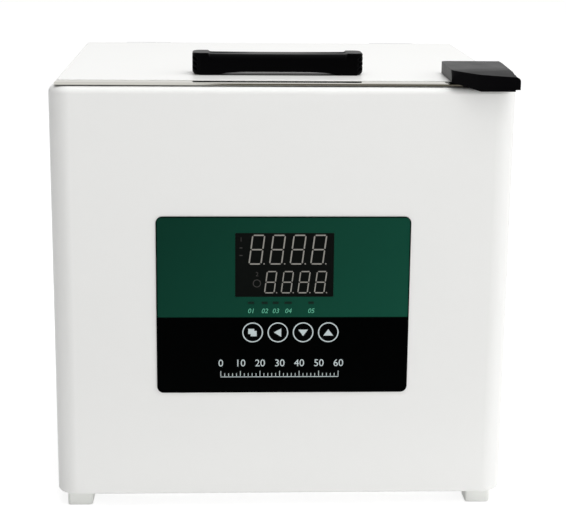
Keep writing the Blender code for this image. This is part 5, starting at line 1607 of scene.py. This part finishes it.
def camera():
    """Looks along (sin yaw cos pitch, cos yaw cos pitch, -sin pitch), rolled about that line."""
    ahead = Vector((math.sin(CAMERA_YAW) * math.cos(CAMERA_PITCH),
                    math.cos(CAMERA_YAW) * math.cos(CAMERA_PITCH), -math.sin(CAMERA_PITCH)))
    level = Vector((math.cos(CAMERA_YAW), -math.sin(CAMERA_YAW), 0))
    upward = level.cross(ahead)
    right = level * math.cos(CAMERA_ROLL) + upward * math.sin(CAMERA_ROLL)
    up = upward * math.cos(CAMERA_ROLL) - level * math.sin(CAMERA_ROLL)
    data = bpy.data.cameras.new("photo_camera")
    data.sensor_width = SENSOR_WIDTH
    data.lens = FOCAL_PIXELS * SENSOR_WIDTH / IMAGE_WIDTH
    data.clip_end = 100
    made = bpy.data.objects.new("photo_camera", data)
    turn = Matrix((right, up, -ahead)).transposed().to_4x4()
    made.matrix_world = Matrix.Translation(CAMERA_PLACE) @ turn
    bpy.context.collection.objects.link(made)
    bpy.context.scene.camera = made


def seen_directly(tree):
    """1 for rays from the camera and for what gloss and glass show, 0 for the light on surfaces."""
    path = tree.nodes.new("ShaderNodeLightPath")
    both = maths(tree, "MAXIMUM", path.outputs["Is Camera Ray"], path.outputs["Is Glossy Ray"])
    return maths(tree, "MAXIMUM", both, path.outputs["Is Transmission Ray"])


def sky():
    """Even light, with a white background where it is seen."""
    bpy.context.scene.view_settings.view_transform = "Standard"
    world = bpy.data.worlds.new("studio")
    world.use_nodes = True
    tree = world.node_tree
    background = tree.nodes["Background"]
    background.inputs["Color"].default_value = (1, 1, 1, 1)
    coordinates = tree.nodes.new("ShaderNodeTexCoord")
    across = vector_maths(tree, "DOT_PRODUCT", coordinates.outputs["Generated"], (1, 0, 0))
    even = settings("stage").sky
    strength = maths(tree, "MULTIPLY_ADD", across, even * settings("stage").lean, even)
    white = seen_directly(tree)
    shaded = maths(tree, "MULTIPLY", maths(tree, "SUBTRACT", 1.0, white), strength)
    tree.links.new(maths(tree, "ADD", shaded, white), background.inputs["Strength"])
    bpy.context.scene.world = world


def floor():
    """Wide pale floor. Where it is seen it glows enough to come out white, and it still takes the shadow."""
    wide = (-9.0, 9.0)
    thing = block("studio_floor", wide, wide, (-0.02, -0.0002))
    made = bpy.data.materials.new("studio_floor")
    made.use_nodes = True
    tree = made.node_tree
    shader = tree.nodes["Principled BSDF"]
    shader.inputs["Base Color"].default_value = (0.93, 0.93, 0.93, 1)
    shader.inputs["Roughness"].default_value = 0.9
    shader.inputs["Specular IOR Level"].default_value = 0.0
    glow = tree.nodes.new("ShaderNodeEmission")
    glow.inputs["Color"].default_value = (1, 1, 1, 1)
    glow.inputs["Strength"].default_value = settings("stage").floor
    blend = tree.nodes.new("ShaderNodeMixShader")
    tree.links.new(maths(tree, "MULTIPLY", seen_directly(tree), 0.5), blend.inputs[0])
    tree.links.new(shader.outputs[0], blend.inputs[1])
    tree.links.new(glow.outputs[0], blend.inputs[2])
    tree.links.new(blend.outputs[0], tree.nodes["Material Output"].inputs["Surface"])
    thing.data.materials.append(made)


def dark_card(name, colour, x, y, z):
    """A dark sheet in front of the object. Only gloss and metal show it."""
    thing = block(name, x, y, z)
    made = bpy.data.materials.new(name)
    made.use_nodes = True
    tree = made.node_tree
    tree.nodes.remove(tree.nodes["Principled BSDF"])
    glow = tree.nodes.new("ShaderNodeEmission")
    glow.inputs["Color"].default_value = solid_colour(colour)
    tree.links.new(glow.outputs[0], tree.nodes["Material Output"].inputs["Surface"])
    thing.data.materials.append(made)
    for rays in ("camera", "diffuse", "shadow", "transmission"):
        setattr(thing, f"visible_{rays}", False)


def dark_cards():
    """One card stands behind the camera, to its right, one leads up to it on the floor and one lies on the
    floor before the object."""
    dusk = (0.17, 0.155, 0.13)
    right = (-0.07, 3.2)
    flat = (0.0, 0.0005)
    dark_card("standing_card", dusk, right, (-3.05, -3.0), (0.0, 3.4))
    dark_card("leading_card", dusk, right, (-2.99, -1.36), flat)
    dark_card("lying_card", (0.02, 0.02, 0.02), (-1.6, 2.6), (-1.35, -0.32), flat)


def lamp(name, where, target, width, power):
    """A soft square light that faces a point."""
    data = bpy.data.lights.new(name, "AREA")
    data.shape = "SQUARE"
    data.size = width
    data.energy = power
    made = bpy.data.objects.new(name, data)
    direction = Vector(target) - Vector(where)
    made.matrix_world = Matrix.Translation(where) @ direction.to_track_quat("-Z", "Y").to_matrix().to_4x4()
    made.visible_glossy = False
    bpy.context.collection.objects.link(made)


def lamps():
    """Three lights that face the middle of the cabinet."""
    chosen = settings("stage")
    middle = (0, 0, (BASE + TOP) / 2)
    lamp("top_light", (0.25, -0.3, 1.9), middle, 1.4, chosen.top)
    lamp("side_light", (1.9, -0.7, 0.8), middle, 1.1, chosen.side)
    lamp("front_light", (0.5, -2.2, 0.35), middle, 1.2, chosen.front)


class INCUBATOR_OT_stage(bpy.types.Operator):
    """Makes the camera, the floor, the sky and the lamps"""
    bl_idname = "incubator.stage"
    bl_label = "Stage"

    def execute(self, context):
        camera()
        sky()
        floor()
        dark_cards()
        lamps()
        return {"FINISHED"}


class INCUBATOR_OT_cabinet(bpy.types.Operator):
    """Makes the painted cabinet and its rear cover"""
    bl_idname = "incubator.cabinet"
    bl_label = "Cabinet"

    def execute(self, context):
        cabinet_skin()
        rear_sheet()
        return {"FINISHED"}


class INCUBATOR_OT_underside(bpy.types.Operator):
    """Makes the base sheet and the feet"""
    bl_idname = "incubator.underside"
    bl_label = "Underside"

    def execute(self, context):
        underside()
        return {"FINISHED"}


class INCUBATOR_OT_chamber(bpy.types.Operator):
    """Makes the liner, the mouth ring and the shelf"""
    bl_idname = "incubator.chamber"
    bl_label = "Chamber"

    def execute(self, context):
        chamber_liner()
        mouth_ring()
        chamber_shelf()
        return {"FINISHED"}


class INCUBATOR_OT_lid(bpy.types.Operator):
    """Makes the rim, the top sheet, the tray and the seal"""
    bl_idname = "incubator.lid"
    bl_label = "Lid"

    def execute(self, context):
        lid_rim()
        lid_sheet()
        lid_tray()
        lid_seal()
        return {"FINISHED"}


class INCUBATOR_OT_handle(bpy.types.Operator):
    """Makes the moulded handle"""
    bl_idname = "incubator.handle"
    bl_label = "Handle"

    def execute(self, context):
        carry_handle()
        return {"FINISHED"}


class INCUBATOR_OT_latch(bpy.types.Operator):
    """Makes the sliding corner latch"""
    bl_idname = "incubator.latch"
    bl_label = "Latch"

    def execute(self, context):
        latch_grip()
        return {"FINISHED"}


class INCUBATOR_OT_hinges(bpy.types.Operator):
    """Makes the hinge leaves, pins and screws"""
    bl_idname = "incubator.hinges"
    bl_label = "Hinges"

    def execute(self, context):
        hinges()
        return {"FINISHED"}


class INCUBATOR_OT_panel(bpy.types.Operator):
    """Makes the film, the display and the print"""
    bl_idname = "incubator.panel"
    bl_label = "Control panel"

    def execute(self, context):
        panel_sheet()
        display()
        panel_print()
        return {"FINISHED"}


class INCUBATOR_OT_keys(bpy.types.Operator):
    """Makes the round keys"""
    bl_idname = "incubator.keys"
    bl_label = "Keys"

    def execute(self, context):
        key_caps()
        return {"FINISHED"}


class INCUBATOR_OT_connections(bpy.types.Operator):
    """Makes the inlet, the fuse cap and the switch"""
    bl_idname = "incubator.connections"
    bl_label = "Rear connections"

    def execute(self, context):
        inlet()
        fuse_cap()
        rocker()
        return {"FINISHED"}


class INCUBATOR_OT_inside(bpy.types.Operator):
    """Finishes the parts behind the sheet metal"""
    bl_idname = "incubator.inside"
    bl_label = "Inner parts"

    def execute(self, context):
        inner_parts()
        return {"FINISHED"}


OPERATORS = (
    INCUBATOR_OT_stage,
    INCUBATOR_OT_cabinet,
    INCUBATOR_OT_underside,
    INCUBATOR_OT_chamber,
    INCUBATOR_OT_lid,
    INCUBATOR_OT_handle,
    INCUBATOR_OT_latch,
    INCUBATOR_OT_hinges,
    INCUBATOR_OT_panel,
    INCUBATOR_OT_keys,
    INCUBATOR_OT_connections,
    INCUBATOR_OT_inside,
)


class INCUBATOR_PT_sidebar(bpy.types.Panel):
    """Lists the pieces and the settings in the sidebar"""
    bl_label = "Incubator"
    bl_idname = "INCUBATOR_PT_sidebar"
    bl_space_type = "VIEW_3D"
    bl_region_type = "UI"
    bl_category = "Incubator"

    def draw(self, context):
        for name, group in GROUPS.items():
            box = self.layout.box()
            for label in group.__annotations__:
                box.prop(getattr(context.scene, name), label)
        for made in OPERATORS:
            self.layout.operator(made.bl_idname)


def register():
    for name, group in GROUPS.items():
        bpy.utils.register_class(group)
        setattr(bpy.types.Scene, name, bpy.props.PointerProperty(type=group))
    for made in OPERATORS:
        bpy.utils.register_class(made)
    bpy.utils.register_class(INCUBATOR_PT_sidebar)


def unregister():
    bpy.utils.unregister_class(INCUBATOR_PT_sidebar)
    for made in reversed(OPERATORS):
        bpy.utils.unregister_class(made)
    for name, group in GROUPS.items():
        delattr(bpy.types.Scene, name)
        bpy.utils.unregister_class(group)


def main():
    """Makes every piece in order."""
    register()
    bpy.ops.incubator.stage()
    bpy.ops.incubator.cabinet()
    bpy.ops.incubator.underside()
    bpy.ops.incubator.chamber()
    bpy.ops.incubator.lid()
    bpy.ops.incubator.handle()
    bpy.ops.incubator.latch()
    bpy.ops.incubator.hinges()
    bpy.ops.incubator.panel()
    bpy.ops.incubator.keys()
    bpy.ops.incubator.connections()
    bpy.ops.incubator.inside()


if __name__ == "__main__":
    main()
